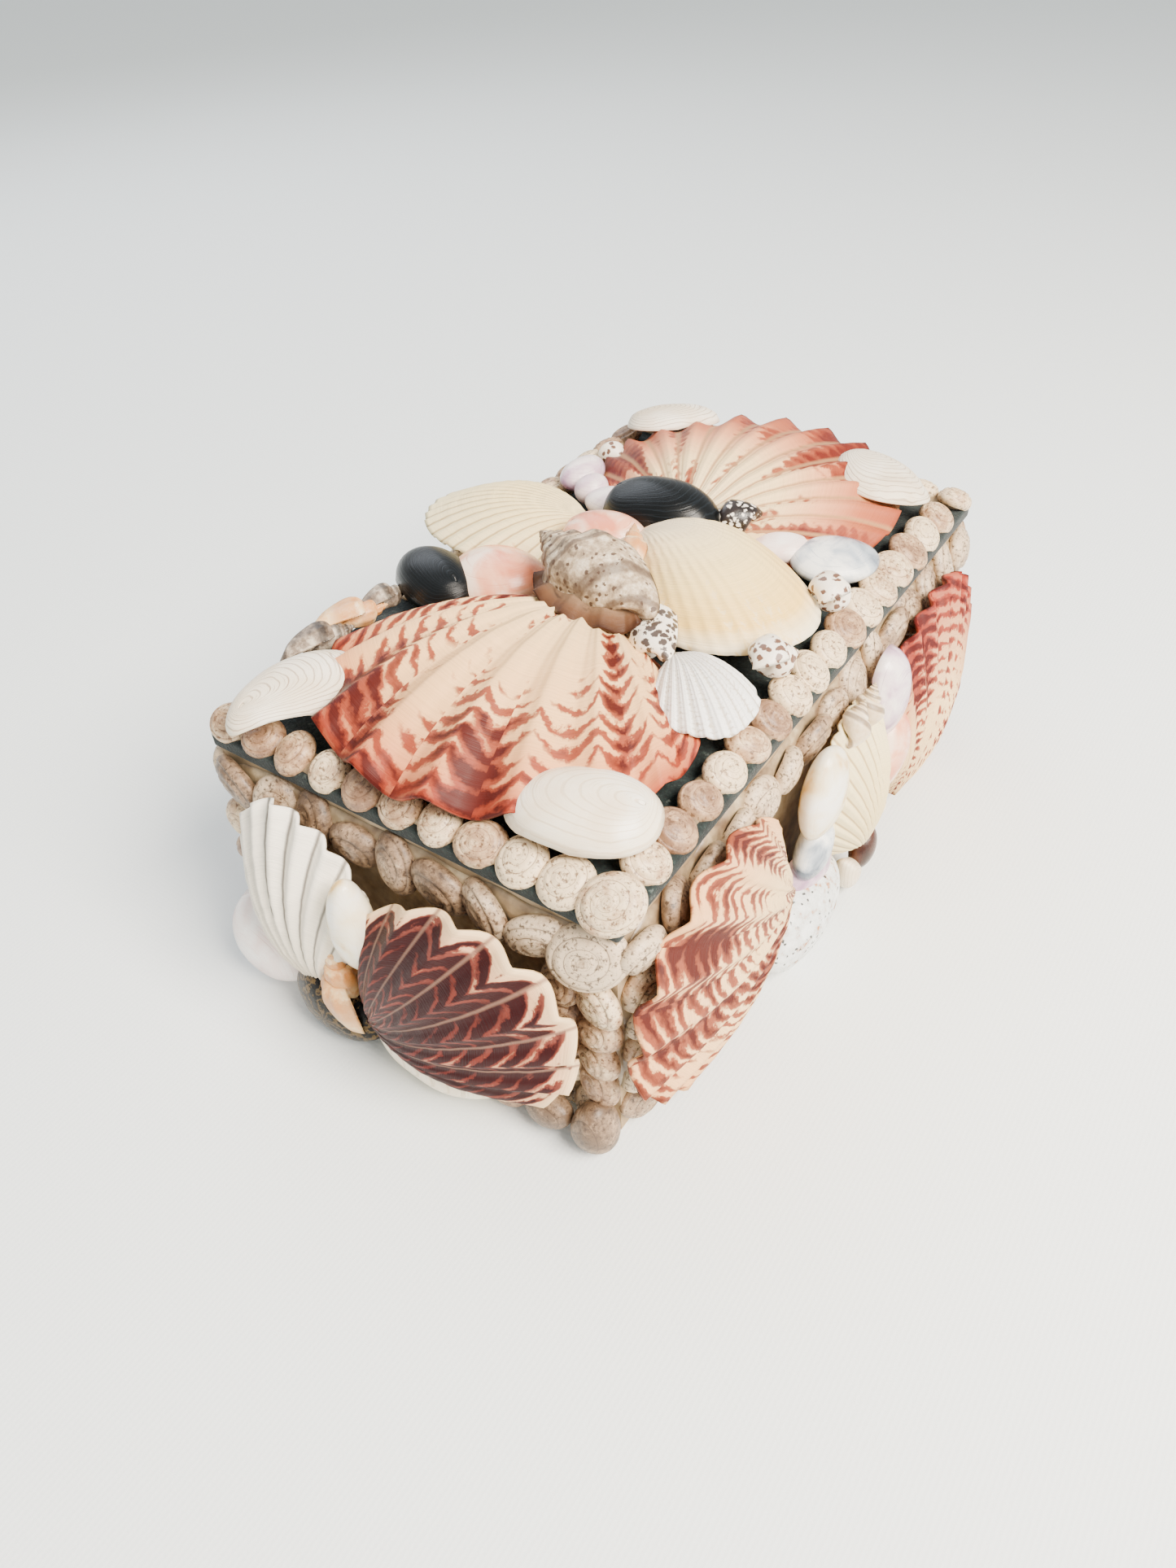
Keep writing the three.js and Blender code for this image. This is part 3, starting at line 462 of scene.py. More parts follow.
def ribbed_material(name, ribs, shades, blot, deep, cover, rays=0.6, crescents=0.15, edge=0.2, lift=0.0,
                    groove=None, groove_width=0.14, gloss=0.4, chevron=0.05, bands=16, riblets=4,
                    edge_power=3, seed=0):
    """Ribbed shell: shades from beak to edge, blots in rays that break into crescents rib by rib.

    The blots cover more where cover is low, and their cores are deep. Rays, crescents and edge say how much
    broad patches, bands across the ribs and the outer edge add to the blots. Groove tints the valleys.
    """
    material, tree, shader = new_material(name)
    where = add(tree, "TexCoord", {})
    split = add(tree, "SeparateXYZ", {}, Vector=where.outputs["UV"])
    u, v = split.outputs["X"], split.outputs["Y"]

    # Every rib has a number, a chance value of its own, and a phase from its valley to its crest.
    rib = add(tree, "Math", {"operation": "MULTIPLY", 1: ribs}, in0=u)
    number = add(tree, "Math", {"operation": "FLOOR"}, in0=rib)
    chance = add(tree, "TexWhiteNoise", {"noise_dimensions": "1D"}, W=number)
    phase = add(tree, "Math", {"operation": "PINGPONG", 1: 0.5}, in0=rib)
    arch = add(tree, "Math", {"operation": "MULTIPLY"}, in0=phase, in1=phase)

    # Broad patches spread over several ribs, and a fine grain wanders inside each.
    wide_grain = {"Scale": (ribs * 0.55, 1.6, 1), "Location": (seed, seed, 0)}
    broad = add(tree, "Mapping", wide_grain, Vector=where.outputs["UV"])
    patch = add(tree, "TexNoise", {"Scale": 1, "Detail": 3, "Roughness": 0.5}, Vector=broad)
    patch = add(tree, "MapRange", {"From Min": 0.36, "From Max": 0.64}, Value=patch)
    fine_grain = {"Scale": (ribs * 1.8, 9, 1), "Location": (seed, 0, 0)}
    tight = add(tree, "Mapping", fine_grain, Vector=where.outputs["UV"])
    wander = add(tree, "TexNoise", {"Scale": 1, "Detail": 5, "Roughness": 0.65}, Vector=tight)

    # Bands run across the ribs, bent to chevrons on each and shifted from one to the next.
    bent = add(tree, "Math", {"operation": "MULTIPLY_ADD", 1: chevron * 4}, in0=arch, in2=v)
    bent = add(tree, "Math", {"operation": "MULTIPLY_ADD", 1: 0.13}, in0=wander, in2=bent)
    bent = add(tree, "Math", {"operation": "MULTIPLY_ADD", 1: 1.2 / bands}, in0=chance, in2=bent)
    turns = add(tree, "Math", {"operation": "MULTIPLY", 1: bands * TURN}, in0=bent)
    wave = add(tree, "Math", {"operation": "SINE"}, in0=turns)
    far = add(tree, "Math", {"operation": "POWER", 1: edge_power}, in0=v)

    # Patches, bands and the outer edge add up to a mask, which colours the shell in two depths.
    mask = add(tree, "Math", {"operation": "MULTIPLY_ADD", 1: rays, 2: lift}, in0=patch)
    mask = add(tree, "Math", {"operation": "MULTIPLY_ADD", 1: crescents}, in0=wave, in2=mask)
    mask = add(tree, "Math", {"operation": "MULTIPLY_ADD", 1: edge}, in0=far, in2=mask)
    mask = add(tree, "Math", {"operation": "MULTIPLY_ADD", 1: -0.35}, in0=phase, in2=mask)
    mask = add(tree, "Math", {"operation": "MULTIPLY_ADD", 1: 0.35}, in0=wander, in2=mask)
    base = add(tree, "ValToRGB", {"stops": shades}, Fac=v)
    blots = add(tree, "ValToRGB", {"stops": [(cover - 0.05, 0.0), (cover + 0.05, 0.92)]}, Fac=mask)
    darks = add(tree, "ValToRGB", {"stops": [(cover + 0.1, 0.0), (cover + 0.24, 0.95)]}, Fac=mask)
    colour = add(tree, "MixRGB", {"Color2": linear(blot)}, Fac=blots, Color1=base)
    colour = add(tree, "MixRGB", {"Color2": linear(deep)}, Fac=darks, Color1=colour)
    if groove:
        valley = add(tree, "ValToRGB", {"stops": [(groove_width * 0.2, 0.8), (groove_width, 0.0)]}, Fac=phase)
        colour = add(tree, "MixRGB", {"Color2": linear(groove)}, Fac=valley, Color1=colour)

    # Thin growth lines follow the edge, and fine riblets run along each rib.
    grain = add(tree, "Mapping", {"Scale": (5, 150, 1)}, Vector=where.outputs["UV"])
    growth = add(tree, "TexNoise", {"Scale": 1, "Detail": 3, "Roughness": 0.7}, Vector=grain)
    lines = add(tree, "ValToRGB", {"stops": [(0.3, 0.72), (0.6, 1.0)]}, Fac=growth)
    colour = add(tree, "MixRGB", {"blend_type": "MULTIPLY", "Fac": 0.5}, Color1=colour, Color2=lines)
    tree.links.new(colour.outputs[0], shader.inputs["Base Color"])
    shader.inputs["Roughness"].default_value = gloss
    shader.inputs["Specular IOR Level"].default_value = 0.2
    comb = add(tree, "Math", {"operation": "MULTIPLY", 1: riblets * TURN}, in0=rib)
    comb = add(tree, "Math", {"operation": "SINE"}, in0=comb)
    relief = add(tree, "Math", {"operation": "MULTIPLY_ADD", 1: 0.25}, in0=comb, in2=growth)
    bump = add(tree, "Bump", {"Strength": 0.5, "Distance": 0.0005}, Height=relief)
    tree.links.new(bump.outputs[0], shader.inputs["Normal"])
    return material


# The two big scallops of the lid, each as wide as the lid, lie beak to beak with their edges at the ends.
# They are worn by the sea, and the front one has twelve broad ribs, the back one sixteen narrower ones.
# The front one gives the eye apricot, streaked towards the edge with broken red-brown crescents.
lid_scallop = ribbed_material(
    "scallop, apricot with red-brown rays", 12,
    [(0.0, "#ecd5ab"), (0.3, "#f0ca92"), (0.75, "#f0ba80"), (0.92, "#dd9060"), (1.0, "#a84c30")],
    "#842c1a", "#46100a", 0.47, rays=0.62, crescents=0.13, edge=0.12, bands=15, gloss=0.5, seed=3)
piece = valve("front_scallop_shell", 89, 107, 16, 12, 2.6, 1.0)
lay(piece, lid, 2, -22, 3, -91, 4)
keep(piece, lid_scallop, "rose_scallop", "front_scallop")

# The back one gives the eye cream at the beak that deepens to rose, with tan valleys.
rose_scallop = ribbed_material(
    "scallop, rose with a cream beak", 16,
    [(0.0, "#f2dcae"), (0.42, "#f5d29a"), (0.62, "#e6a074"), (0.82, "#b86440"), (1.0, "#a04c2e")],
    "#8c3a22", "#661e12", 0.55, rays=0.6, crescents=0.06, edge=0.2, gloss=0.5, groove="#b98a5e", seed=4)
piece = valve("back_scallop_shell", 88, 104, 14, 16, 1.7, 0.6)
lay(piece, lid, 2, 24, 3, 90, 4)
keep(piece, rose_scallop, "rose_scallop", "back_scallop")

# Smaller scallops stand on the walls, glued by their rims, and overlap the borders of snails.
# Those of the hidden sides are of the same kinds and fewer.
# In front, dark maroon fills the ribs to a cream margin, with thin pale valleys and red-edged crescents.
maroon_scallop = ribbed_material(
    "scallop, maroon with cream crescents", 11,
    [(0.0, "#a08a78"), (0.2, "#c07a62"), (0.75, "#e3a070"), (0.93, "#f0b98c"), (1.0, "#f5d2a2")],
    "#6a1016", "#2a0205", 0.3, rays=0.16, crescents=0.24, edge=-1.1, edge_power=22, lift=0.5, bands=10,
    chevron=0.09, groove="#8f6a58", groove_width=0.06, gloss=0.5, seed=2)
# On the right, wavy red-brown bands run from rib to rib over cream.
banded_scallop = ribbed_material(
    "scallop, cream with wavy red-brown bands", 11,
    [(0.0, "#efcc98"), (0.5, "#f4cf98"), (1.0, "#efb37c")],
    "#7e2c1a", "#461008", 0.38, rays=0.5, crescents=0.13, edge=0, lift=0.05, bands=16, chevron=0.04,
    gloss=0.5, seed=7)
# The far one is cream with short brown bars on its fine ribs, and redder at the edge.
barred_scallop = ribbed_material(
    "scallop, cream with brown bars on fine ribs", 17,
    [(0.0, "#efcc98"), (0.5, "#f4cf98"), (0.85, "#c98a66"), (1.0, "#a8513c")],
    "#8a2c1e", "#4a0e0c", 0.42, rays=0.45, crescents=0.16, edge=0.1, bands=17, chevron=0.02,
    gloss=0.5, seed=9)
# A seat is x and y on the panel, the height above it, and the heading.
for name, panel, length, width, height, ribs, relief, seat, material, slot in (
    ("dark_scallop", front, 77, 66, 12, 11, 2, (-7.5, 18.5, 11, 35), maroon_scallop, "maroon_scallop"),
    ("right_front_scallop", right, 78, 79, 9, 11, 2.2, (-38, 38, ON_ROW, 170), banded_scallop, "rose_scallop"),
    ("right_back_scallop", right, 76, 80, 10, 17, 1.3, (43, 10, ON_ROW, 52), barred_scallop, "rose_scallop"),
    ("left_front_scallop", left, 70, 68, 12, 16, 1.4, (32, 28, ON_ROW, 14), rose_scallop, "rose_scallop"),
    ("left_back_scallop", left, 70, 68, 12, 16, 1.4, (-32, 28, ON_ROW, 166), rose_scallop, "rose_scallop"),
    ("back_wall_scallop", rear, 66, 64, 12, 11, 2, (-8, 16, ON_ROW, 38), maroon_scallop, "maroon_scallop"),
):
    piece = valve(name + "_shell", length, width, height, ribs, relief, 1.0)
    lay(piece, panel, *seat)
    keep(piece, material, slot, name)

# Cockles are deeper bowls of thicker shell with close ribs, glued on by their rims like the scallops.
# Those of the lid and the right wall are creamy yellow, the one in front is white.
# Warm cream that deepens to yellow near a pale edge, waxy, its ribs hardly seen.
cream_cockle = ribbed_material(
    "cockle, creamy yellow with fine grooves", 30,
    [(0.0, "#f0dcc0"), (0.3, "#f4dfb4"), (0.7, "#f8d88e"), (0.9, "#f6cc74"), (1.0, "#faeccb")],
    "#f3d59a", "#eecb86", 0.9, gloss=0.3, riblets=1)
# Even cream, combed by thin brown lines.
combed_cockle = ribbed_material(
    "cockle, cream with brown grooves", 24,
    [(0.0, "#efd9a8"), (0.5, "#f5dda2"), (1.0, "#f8e8b8")],
    "#e8cf9a", "#d9b678", 0.85, groove="#a58658", gloss=0.4, riblets=1)
# Chalk white with narrow dark grey grooves.
grooved_cockle = ribbed_material(
    "cockle, white with dark grey grooves", 13,
    [(0.0, "#e2d3ba"), (0.5, "#f5ead6"), (1.0, "#fcf4e4")],
    "#d8c8ae", "#c2ad90", 0.75, rays=0.3, groove="#4a4038", groove_width=0.1, gloss=0.5, riblets=2)
# White, crossed by faint grey rings that make a lattice with the ribs.
lattice = ribbed_material(
    "cockle, white and latticed", 16,
    [(0.0, "#efe6da"), (1.0, "#fffdf8")],
    "#cfc4b4", "#b8aa98", 0.4, rays=0.1, crescents=0.28, edge=0, groove="#c3b6a6", chevron=0.0, bands=22)
for name, panel, length, width, height, ribs, relief, seat, material, slot in (
    ("right_cockle", lid, 64, 53, 18, 30, 0.16, (-5, 10, 7, -14, 2), cream_cockle, "cream_shell"),
    ("left_cockle", lid, 54, 45, 11, 24, 0.5, (-25, 16, 6, 203, 6), combed_cockle, "cream_shell"),
    ("lattice_cockle", lid, 32, 28, 8, 16, 0.5, (33, -33, 9, -32), lattice, "ivory_shell"),
    ("ribbed_cockle", front, 64, 46, 13, 13, 1.6, (-26, 17, ON_ROW, 97), grooved_cockle, "ivory_shell"),
    ("cream_cockle", right, 58, 46, 12, 24, 0.7, (6, 18, ON_ROW, 98), combed_cockle, "cream_shell"),
    ("left_wall_cockle", left, 52, 46, 12, 24, 0.7, (0, 16, ON_ROW, 92), combed_cockle, "cream_shell"),
    ("back_wall_cockle", rear, 54, 46, 12, 13, 1.4, (-12, 20, ON_ROW, 118), grooved_cockle, "ivory_shell"),
):
    piece = valve(name + "_shell", length, width, height, ribs, relief, relief * 0.3)
    lay(piece, panel, *seat)
    keep(piece, material, slot, name)


# Whelks, dove shells and top shells are snails' shells: a tube winds round an axis, widens towards its
# mouth, and lies on its side in glue. The large whelk crowns the lid, and small ones fill the gaps.
def coil(name, length, width, whorls, foot, knobs=0, knob_size=0.0, taper=0.5):
    """A coiled shell, its spire towards y. Foot is the share of its length below the widest whorl."""
    shrink = 0.04 ** (1 / whorls)
    spire, half = length * (1 - foot), width / 2

    def shape(across, along):
        mouth = np.clip((along - 0.94) / 0.06, 0, 1)
        turns = whorls * (1 - np.minimum(along / 0.94, 1)) + 0.1 * mouth
        size = shrink ** turns
        section = 2 * np.pi * across
        shoulder = sum(np.exp(-(((section - 0.9 - start) / 0.7) ** 2)) for start in (0, 2 * np.pi))
        bumps = 1 + knob_size * np.cos(2 * np.pi * turns * knobs) * (0.35 + shoulder)
        open_part = np.cos(mouth * np.pi / 2)
        lower, upper = foot * length * 0.98, spire * (1 - shrink) / (1 + shrink) * 1.3
        axial = np.where(np.sin(section) > 0, upper, lower) * np.sin(section) * size * open_part
        slim = np.where(np.sin(section) < 0, 1 + taper * np.sin(section), 1)
        radius = (half * 0.52 * slim + half * 0.48 * np.cos(section) * open_part * bumps) * size
        angle = 2 * np.pi * turns + 0.5
        y = length / 2 - spire * size + axial * 0.99
        return radius * np.cos(angle), y, np.maximum(radius * np.sin(angle) + half, 0)

    return surface(name, 36, int(whorls * 44), shape)


def coil_material(name, shades, mark, stripes=0, spots=0, cover=0.5, gloss=0.35, bend=0.0, shine=0.5):
    """Coiled shell: clouded ground with stripes that follow the whorls, or blotches, or both."""
    material, tree, shader = new_material(name)
    where = add(tree, "TexCoord", {})
    split = add(tree, "SeparateXYZ", {}, Vector=where.outputs["UV"])
    place = where.outputs["Object"]
    cloud = add(tree, "TexNoise", {"Scale": 190, "Detail": 6, "Roughness": 0.7}, Vector=place)
    colour, height = add(tree, "ValToRGB", {"stops": shades}, Fac=cloud), cloud
    if stripes:
        weave = add(tree, "Math", {"operation": "MULTIPLY_ADD", 1: bend}, in0=cloud, in2=split.outputs["X"])
        turns = add(tree, "Math", {"operation": "MULTIPLY", 1: stripes * TURN}, in0=weave)
        wave = add(tree, "Math", {"operation": "SINE"}, in0=turns)
        line = add(tree, "ValToRGB", {"stops": [(0.3, 0.0), (0.8, 0.7)]}, Fac=wave)
        height = add(tree, "Math", {"operation": "MULTIPLY_ADD", 1: -0.35}, in0=line, in2=height)
        colour = add(tree, "MixRGB", {"Color2": linear(mark)}, Fac=line, Color1=colour)
    if spots:
        pull = add(tree, "MixRGB", {"Fac": 0.004}, Color1=place, Color2=cloud.outputs["Color"])
        cells = add(tree, "TexVoronoi", {"Scale": spots, "Randomness": 0.9}, Vector=pull)
        edges = [(cover - 0.06, 0.95), (cover, 0.0)]
        blotch = add(tree, "ValToRGB", {"stops": edges}, Fac=cells.outputs["Distance"])
        colour = add(tree, "MixRGB", {"Color2": linear(mark)}, Fac=blotch, Color1=colour)
    tree.links.new(colour.outputs[0], shader.inputs["Base Color"])
    shader.inputs["Roughness"].default_value = gloss
    shader.inputs["Specular IOR Level"].default_value = shine
    bump = add(tree, "Bump", {"Strength": 0.5, "Distance": 0.0008}, Height=height)
    tree.links.new(bump.outputs[0], shader.inputs["Normal"])
    return material


# Matt grey-brown in clouds, with dark lines and flecks along the whorls.
whelk_shell = coil_material(
    "whelk, grey-brown and ridged", [(0.38, "#6f5c48"), (0.5, "#b09a7c"), (0.64, "#e6d6bc")],
    "#4a3424", stripes=9, bend=0.015, spots=420, cover=0.28, gloss=0.6)
# Dark grey-brown with nearly black stripes.
stone_whelk = coil_material(
    "small whelk, dark and striped", [(0.38, "#4a3c30"), (0.5, "#857463"), (0.62, "#c4b5a0")],
    "#17100c", stripes=4, bend=0.04, gloss=0.45)
# Polished cream under close dark brown spots.
dove_shell = coil_material(
    "dove shell, white with brown blotches", [(0.3, "#efe0c8"), (0.7, "#fbf4e6")],
    "#2a120b", spots=500, cover=0.52, gloss=0.28)
# Polished near-black with white flecks.
dark_dove = coil_material(
    "dove shell, nearly black with white flecks", [(0.4, "#17110f"), (0.6, "#241a17")],
    "#efe6d8", spots=560, cover=0.4, gloss=0.28)
# White with scattered rusty specks.
speckled_top = coil_material(
    "top shell, white with brown specks", [(0.3, "#ecdcc2"), (0.7, "#f9f1e2")],
    "#5a3016", spots=430, cover=0.42, gloss=0.35)
# Cream, wound round by thin brown lines.
striped_coil = coil_material(
    "small whelk, cream with thin brown lines", [(0.35, "#d9bd92"), (0.65, "#f3e2c4")],
    "#4e3018", stripes=3, bend=0.02)
# Warm orange-tan that fades to cream in soft bands.
orange_coil = coil_material(
    "small whelk, orange-tan and banded", [(0.35, "#d98f4e"), (0.55, "#efc78e"), (0.75, "#fbeed6")],
    "#c07a3c", stripes=2, bend=0.2)
# Sizes are length, width, whorls and foot, then the knobs of a whorl, their size, and the taper.
for name, panel, sizes, seat, material, slot in (
    ("whelk", lid, (56, 28, 6.5, 0.44, 9, 0.11, 0.4), (0, -23.5, 8.5, 155, 3), whelk_shell, "brown_shell"),
    ("spotted_dove_shell", lid, (28, 18, 5.5, 0.62, 0, 0, 0.1), (24, -30, 5, 126), dove_shell, "ivory_shell"),
    ("tan_top_shell", lid, (16, 16, 6, 0.45, 0, 0, 0), (55, 17, 4, 70), speckled_top, "tan_shell"),
    ("spotted_top_shell", lid, (17, 16, 6, 0.45, 0, 0, 0), (55, -19, 4, 60), speckled_top, "ivory_shell"),
    ("dark_dove_shell", lid, (18, 14, 5.5, 0.5, 0, 0, 0), (15, 33, 9, 200), dark_dove, "brown_shell"),
    ("orange_snail", front, (34, 15, 6, 0.4, 9, 0.12, 0.2), (-15, 27, 10, 98), orange_coil, "tan_shell"),
):
    piece = coil(name + "_shell", *sizes)
    lay(piece, panel, *seat)
    keep(piece, material, slot, name)

# The left edge of the lid carries a string of three small whelks, end to end in one bead of glue.
# The middle one is orange-tan, the others are dark and striped.
for number, (x, y, heading, length, width, material) in enumerate((
    (-60, -72, 75, 26, 13, stone_whelk),
    (-61, -58, 66, 26, 13, orange_coil),
    (-60, -45, 80, 20, 11, stone_whelk),
)):
    piece = coil(f"edge_whelks_{number}", length, width, 5, 0.45, 9, 0.12, 0.4)
    lay(piece, lid, x, y, 1, heading)
    keep(piece, material, "brown_shell", "edge_whelks")

# The whelk's mouth ends in a broad flared lip of its own shell, which overhangs the front scallop.
# It gives the eye a dull grey-brown that turns dark and rusty at the frilled edge.
whelk_lip = ribbed_material(
    "whelk lip, grey-brown with a rusty edge", 7,
    [(0.0, "#8f7a62"), (0.7, "#94785a"), (0.88, "#6a4830"), (1.0, "#3a2012")],
    "#4e3a2a", "#2e2018", 0.42, rays=0.2, crescents=0.25, edge=-0.2, bands=7, gloss=0.45)
piece = valve("whelk_lip", 24, 38, 5, 7, 0.9, 1.0, 1.4)
lay(piece, lid, 6.5, -17.5, 19, 262, -1)
keep(piece, whelk_lip, "brown_shell")


# Smooth clams are thin halves of bivalves, and moon shells, bubbles, olives and nerites are snails as
# round as pebbles. All are polished by the sea, and lie in glue in the gaps between the large shells.
def clam(name, length, width, height, beak=0.12, fullness=0.6):
    """A domed half whose growth lines are curves round a beak near one edge."""
    def shape(across, along):
        angle = 2 * np.pi * across
        narrowing = 1 - beak * np.sin(angle)
        rim_x = width / 2 * np.sign(np.cos(angle)) * np.abs(np.cos(angle)) ** 0.85 * narrowing
        rim_y = length / 2 * np.sign(np.sin(angle)) * np.abs(np.sin(angle)) ** 0.9
        x, y = rim_x * along, rim_y * along - 0.8 * length / 2 * (1 - along) ** 1.3
        far = np.clip((x / (width / 2)) ** 2 + (y / (length / 2)) ** 2, 0, 1)
        high = height * (1 - far * along ** 4 - far * (1 - along ** 4) * 0.7) ** fullness
        return x, y, high + 0.01 * height * waves(x / 4, y / 4, name)

    return surface(name, 40, 22, shape, wall_thickness=0.8)


def pebble(name, length, width, height, beak=0.12):
    """A shell as round and full as a pebble, narrower towards y, and open below where it is glued."""
    def shape(across, along):
        angle, dip = 2 * np.pi * across, np.pi * 0.82 * along
        egg = 1 - beak * np.sin(angle)
        lump = 1 + 0.02 * waves(4 * np.cos(angle), 4 * along, name)
        return (
            width / 2 * np.sin(dip) * np.cos(angle) * egg * lump,
            length / 2 * np.sin(dip) * np.sin(angle) * lump,
            height / 2 * (1 + np.cos(dip)),
        )

    return surface(name, 32, 20, shape)


def glossy_material(name, shades, streak, gloss=0.18, lines=0.25, rings=0, shine=0.5):
    """Polished shell: soft clouds of colour, thin growth lines and a clear shine."""
    material, tree, shader = new_material(name)
    where = add(tree, "TexCoord", {})
    place = where.outputs["Object"]
    cloud = add(tree, "TexNoise", {"Scale": 75, "Detail": 4, "Distortion": 0.6}, Vector=place)
    base = add(tree, "ValToRGB", {"stops": shades}, Fac=cloud)
    grain = add(tree, "Mapping", {"Scale": (3, 60, 1)}, Vector=where.outputs["UV"])
    growth = add(tree, "TexNoise", {"Scale": 1, "Detail": 3, "Roughness": 0.65}, Vector=grain)
    smear = add(tree, "ValToRGB", {"stops": [(0.58, 0.0), (0.7, 0.8)]}, Fac=growth)
    colour = add(tree, "MixRGB", {"Color2": linear(streak)}, Fac=smear, Color1=base)
    height = growth
    if rings:
        split = add(tree, "SeparateXYZ", {}, Vector=where.outputs["UV"])
        bent = add(tree, "Math", {"operation": "MULTIPLY_ADD", 1: 0.12}, in0=cloud, in2=split.outputs["Y"])
        turns = add(tree, "Math", {"operation": "MULTIPLY", 1: rings * TURN}, in0=bent)
        wave = add(tree, "Math", {"operation": "SINE"}, in0=turns)
        ring = add(tree, "ValToRGB", {"stops": [(0.75, 0.0), (0.97, 0.55)]}, Fac=wave)
        colour = add(tree, "MixRGB", {"Color2": linear(streak)}, Fac=ring, Color1=colour)
        height = add(tree, "Math", {"operation": "MULTIPLY_ADD", 1: -0.6}, in0=ring, in2=growth)
    tree.links.new(colour.outputs[0], shader.inputs["Base Color"])
    shader.inputs["Roughness"].default_value = gloss
    shader.inputs["Specular IOR Level"].default_value = shine
    bump = add(tree, "Bump", {"Strength": lines, "Distance": 0.0004}, Height=height)
    tree.links.new(bump.outputs[0], shader.inputs["Normal"])
    return material


# Warm ivory with faint tan growth rings, softly polished.
ivory_gloss = glossy_material(
    "clam, ivory and smooth", [(0.3, "#e8d2b0"), (0.55, "#f5e6cc"), (0.75, "#fcf5e6")],
    "#d0b894", gloss=0.25, rings=9)
# White as porcelain with yellow stains.
olive_gloss = glossy_material(
    "bubble shell, white with yellow stains", [(0.36, "#dcb36a"), (0.46, "#f2e3c0"), (0.62, "#fbf6ea")],
    "#e5d2a8", gloss=0.12)
# Matt white, ruled by brown growth lines.
chalky = glossy_material(
    "clam, white with brown growth lines", [(0.3, "#e6d4b6"), (0.7, "#f9efdc")],
    "#86623f", gloss=0.5, lines=0.5, rings=15)
# Clouds of salmon and pale pink under a clear shine.
pink_gloss = glossy_material(
    "shell, salmon pink and glossy", [(0.38, "#dd8260"), (0.5, "#f0ab88"), (0.62, "#fadcc2")], "#cf7a5c")
# White, warmed here and there by a blush.
blush_gloss = glossy_material(
    "clam, white with a blush", [(0.36, "#e6c3ba"), (0.5, "#f3e0d8"), (0.66, "#fcf6ef")],
    "#d9b3a8", gloss=0.22)
# Black with a blue cast and fine paler rings, its shine dulled by wear.
black_gloss = glossy_material(
    "clam, blue-black", [(0.3, "#020303"), (0.6, "#050708"), (0.8, "#0b0e11")],
    "#161c21", gloss=0.3, rings=16, shine=0.25)
# Lilac clouds on white, glossy.
lilac_gloss = glossy_material(
    "clam, lilac", [(0.38, "#a8829c"), (0.48, "#d3b6c4"), (0.6, "#f2e5e2")], "#94708c")
# White with smears of slate blue, glossy.
slate_gloss = glossy_material(
    "shell, white with slate smears", [(0.36, "#5f6b7a"), (0.46, "#b4bcc4"), (0.58, "#f3f2ec")], "#8f99a4")
# Dark red-brown with a dull shine.
brown_gloss = glossy_material(
    "shell, dark brown inside", [(0.3, "#2a1208"), (0.7, "#5a2c18")], "#1c0c06", gloss=0.25)
# Chalky blue-white, dotted black, with rust where it was broken off.
rough_pale = coil_material(
    "oyster, pale blue with black specks", [(0.36, "#b57848"), (0.44, "#d4d6d2"), (0.6, "#eef1ee")],
    "#20201e", spots=420, cover=0.24, gloss=0.6)
# Black, crossed by thin tan zigzags.
nerite = coil_material(
    "nerite, black with tan zigzags", [(0.4, "#050403"), (0.6, "#0c0907")],
    "#7a6038", stripes=9, bend=0.5, gloss=0.3, shine=0.15)
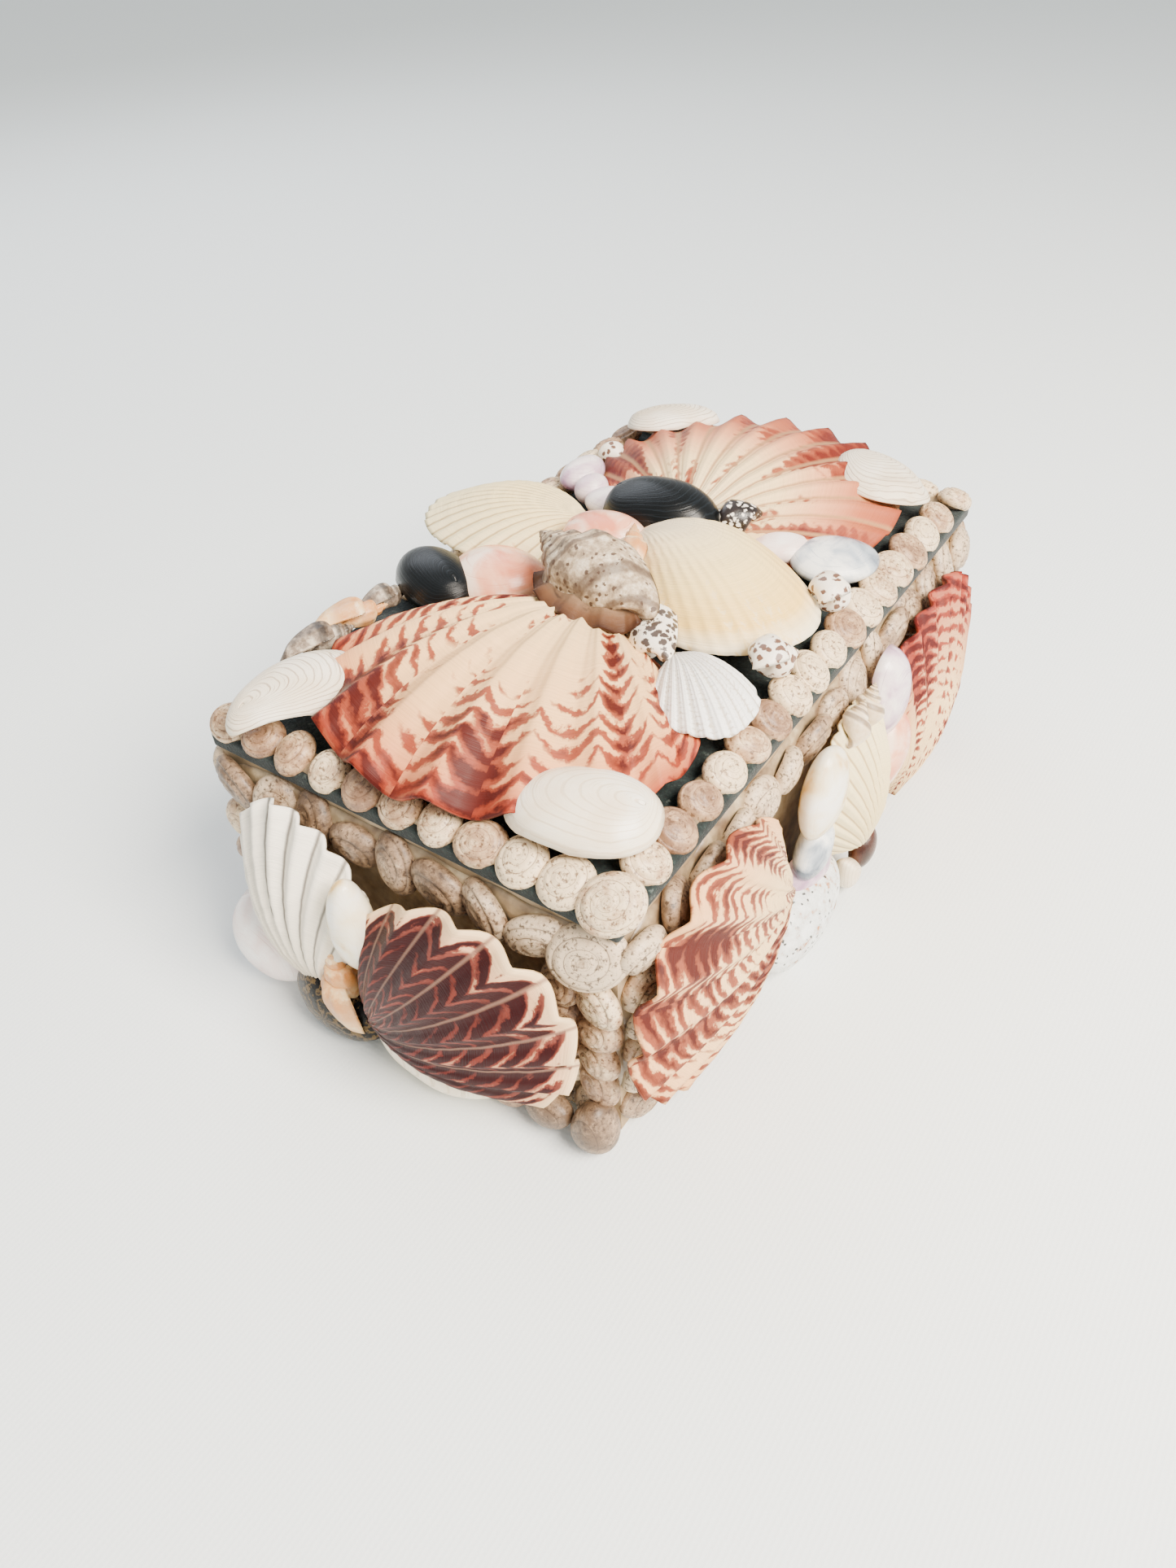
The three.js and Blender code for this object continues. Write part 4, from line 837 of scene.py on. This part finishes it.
# Sizes are length, width and height, then how narrow the beak is, and for one clam how full it is.
for name, panel, shape, sizes, seat, material, slot in (
    ("smooth_front_clam", lid, clam, (36, 25, 8), (43.5, -91, ON_RIM, 200), ivory_gloss, "ivory_shell"),
    ("long_ribbed_shell", lid, clam, (40, 22, 8, -0.4), (-45.5, -94, ON_RIM, 80), chalky, "cream_shell"),
    ("flat_clam_left", lid, clam, (32, 22, 6), (-41, 93, 10.6, 39, 0, -14), chalky, "ivory_shell"),
    ("flat_clam_right", lid, clam, (34, 28, 6, -0.3), (39, 88, 11, -40, 0, -14), chalky, "cream_shell"),
    ("salmon_clam", lid, clam, (26, 19, 9), (-12, 3.5, 15, 20), pink_gloss, "pink_shell"),
    ("pink_moon_shell", lid, pebble, (31, 25, 17), (-34, -21, 1, 20), pink_gloss, "pink_shell"),
    ("black_ribbed_clam", lid, clam, (38, 25, 14, 0.12, 0.5), (-5, 25, 12.5, 5), black_gloss, "black_shell"),
    ("black_clam", lid, clam, (31, 20, 10), (-50, -31, 7, 162), black_gloss, "black_shell"),
    ("blue_grey_clam", lid, pebble, (27, 23, 10), (46, 41, 3, 35), slate_gloss, "blue_grey_shell"),
    ("white_olive", front, pebble, (33, 13, 12), (-8, 55, 9, 90), olive_gloss, "ivory_shell"),
    ("striped_nerite", front, pebble, (32, 26, 16), (-21, 14.5, ON_ROW, -15), nerite, "black_shell"),
    ("smooth_white_clam", front, clam, (46, 24, 14), (12, 12.6, ON_ROW, -4), ivory_gloss, "ivory_shell"),
    ("pale_pink_clam", front, clam, (34, 31, 13), (-50, 20, ON_ROW, 60), blush_gloss, "pink_shell"),
    ("yellow_bubble", right, pebble, (30, 21, 11), (-24, 64, ON_ROW, 85), olive_gloss, "cream_shell"),
    ("blue_bubble", right, pebble, (21, 16, 10), (-21, 39, 6, 60), slate_gloss, "blue_grey_shell"),
    ("pink_clam", right, clam, (28, 20, 8), (32, 38, 9, 70), pink_gloss, "pink_shell"),
    ("purple_clam", right, clam, (32, 21, 8), (27, 63, ON_ROW, 100), lilac_gloss, "lilac_shell"),
    ("lilac_clam", right, clam, (32, 24, 8), (-20, 25, 6, 40), lilac_gloss, "lilac_shell"),
    ("pale_rough_shell", right, clam, (46, 28, 12), (-26, 15.5, ON_ROW, 5), rough_pale, "blue_grey_shell"),
):
    piece = shape(name + "_shell", *sizes)
    lay(piece, panel, *seat)
    keep(piece, material, slot, name)

# Three small rounded lilac snails sit in one blob of glue, in the gap at the back left of the lid.
# They are one solid of the frame.
for number, (x, y, length, width) in enumerate(((-29, 35, 15, 21), (-41, 40, 13, 11), (-50, 48, 20, 13))):
    piece = pebble(f"back_left_small_{number}", length, width, 10)
    lay(piece, lid, x, y, 4)
    keep(piece, lilac_gloss, "lilac_shell", "back_left_small_shells")

# The smallest shells are wedged into the gaps and held by glue alone: a tan turret beside the whelk,
# a nerite at the left edge, whelks under the rim, and a few snails and cones at the foot of the walls.
for name, panel, sizes, seat, material, slot in (
    ("tan_turret", lid, (19, 10, 6, 0.35, 9, 0.1), (6, -9.5, 22, 118, 18), orange_coil, "tan_shell"),
    ("edge_nerite", lid, (14, 11, 6, 0.45), (-52, 68, 1, 150), speckled_top, "ivory_shell"),
    ("rim_whelk_near", right, (15, 11, 6, 0.35), (-4, 74, 6, 40), striped_coil, "tan_shell"),
    ("rim_whelk_far", right, (14, 11, 6, 0.35), (5, 74, 6, 60), striped_coil, "tan_shell"),
    ("low_spotted_shell", right, (16, 11, 6, 0.5), (14, 30, 9, 20), speckled_top, "ivory_shell"),
):
    piece = coil(name, *sizes)
    lay(piece, panel, *seat)
    keep(piece, material, slot)
for name, panel, sizes, seat, material, slot in (
    ("small_pink_clam", lid, (22, 16, 9), (28, 39, 4, 20), blush_gloss, "pink_shell"),
    ("button_by_clam", lid, (12, 12, 6), (33, 55, 4, 0), orange_coil, "ivory_shell"),
    ("button_by_nerite", lid, (13, 12, 7), (-55, 57, 1, 0), speckled_top, "ivory_shell"),
    ("foot_shell", front, (19, 13, 13, 0.2), (60.5, 10.4, 1, 86), grey_and_shaded_snail, "grey_snails"),
    ("foot_shell_beside", front, (15, 12, 9), (47, 9, 5, 20), grey_and_shaded_snail, "grey_snails"),
    ("foot_shell_middle", front, (14, 12, 9), (33, 8.5, 5, 150), beige_snail, "grey_snails"),
    ("brown_cup", right, (15, 11, 8), (10, 15, 12, 60), brown_gloss, "brown_shell"),
    ("white_cone", right, (18, 9, 8, 0.5), (2, 10.5, 11, 120), ivory_gloss, "ivory_shell"),
):
    piece = pebble(name, *sizes)
    lay(piece, panel, *seat)
    keep(piece, material, slot)
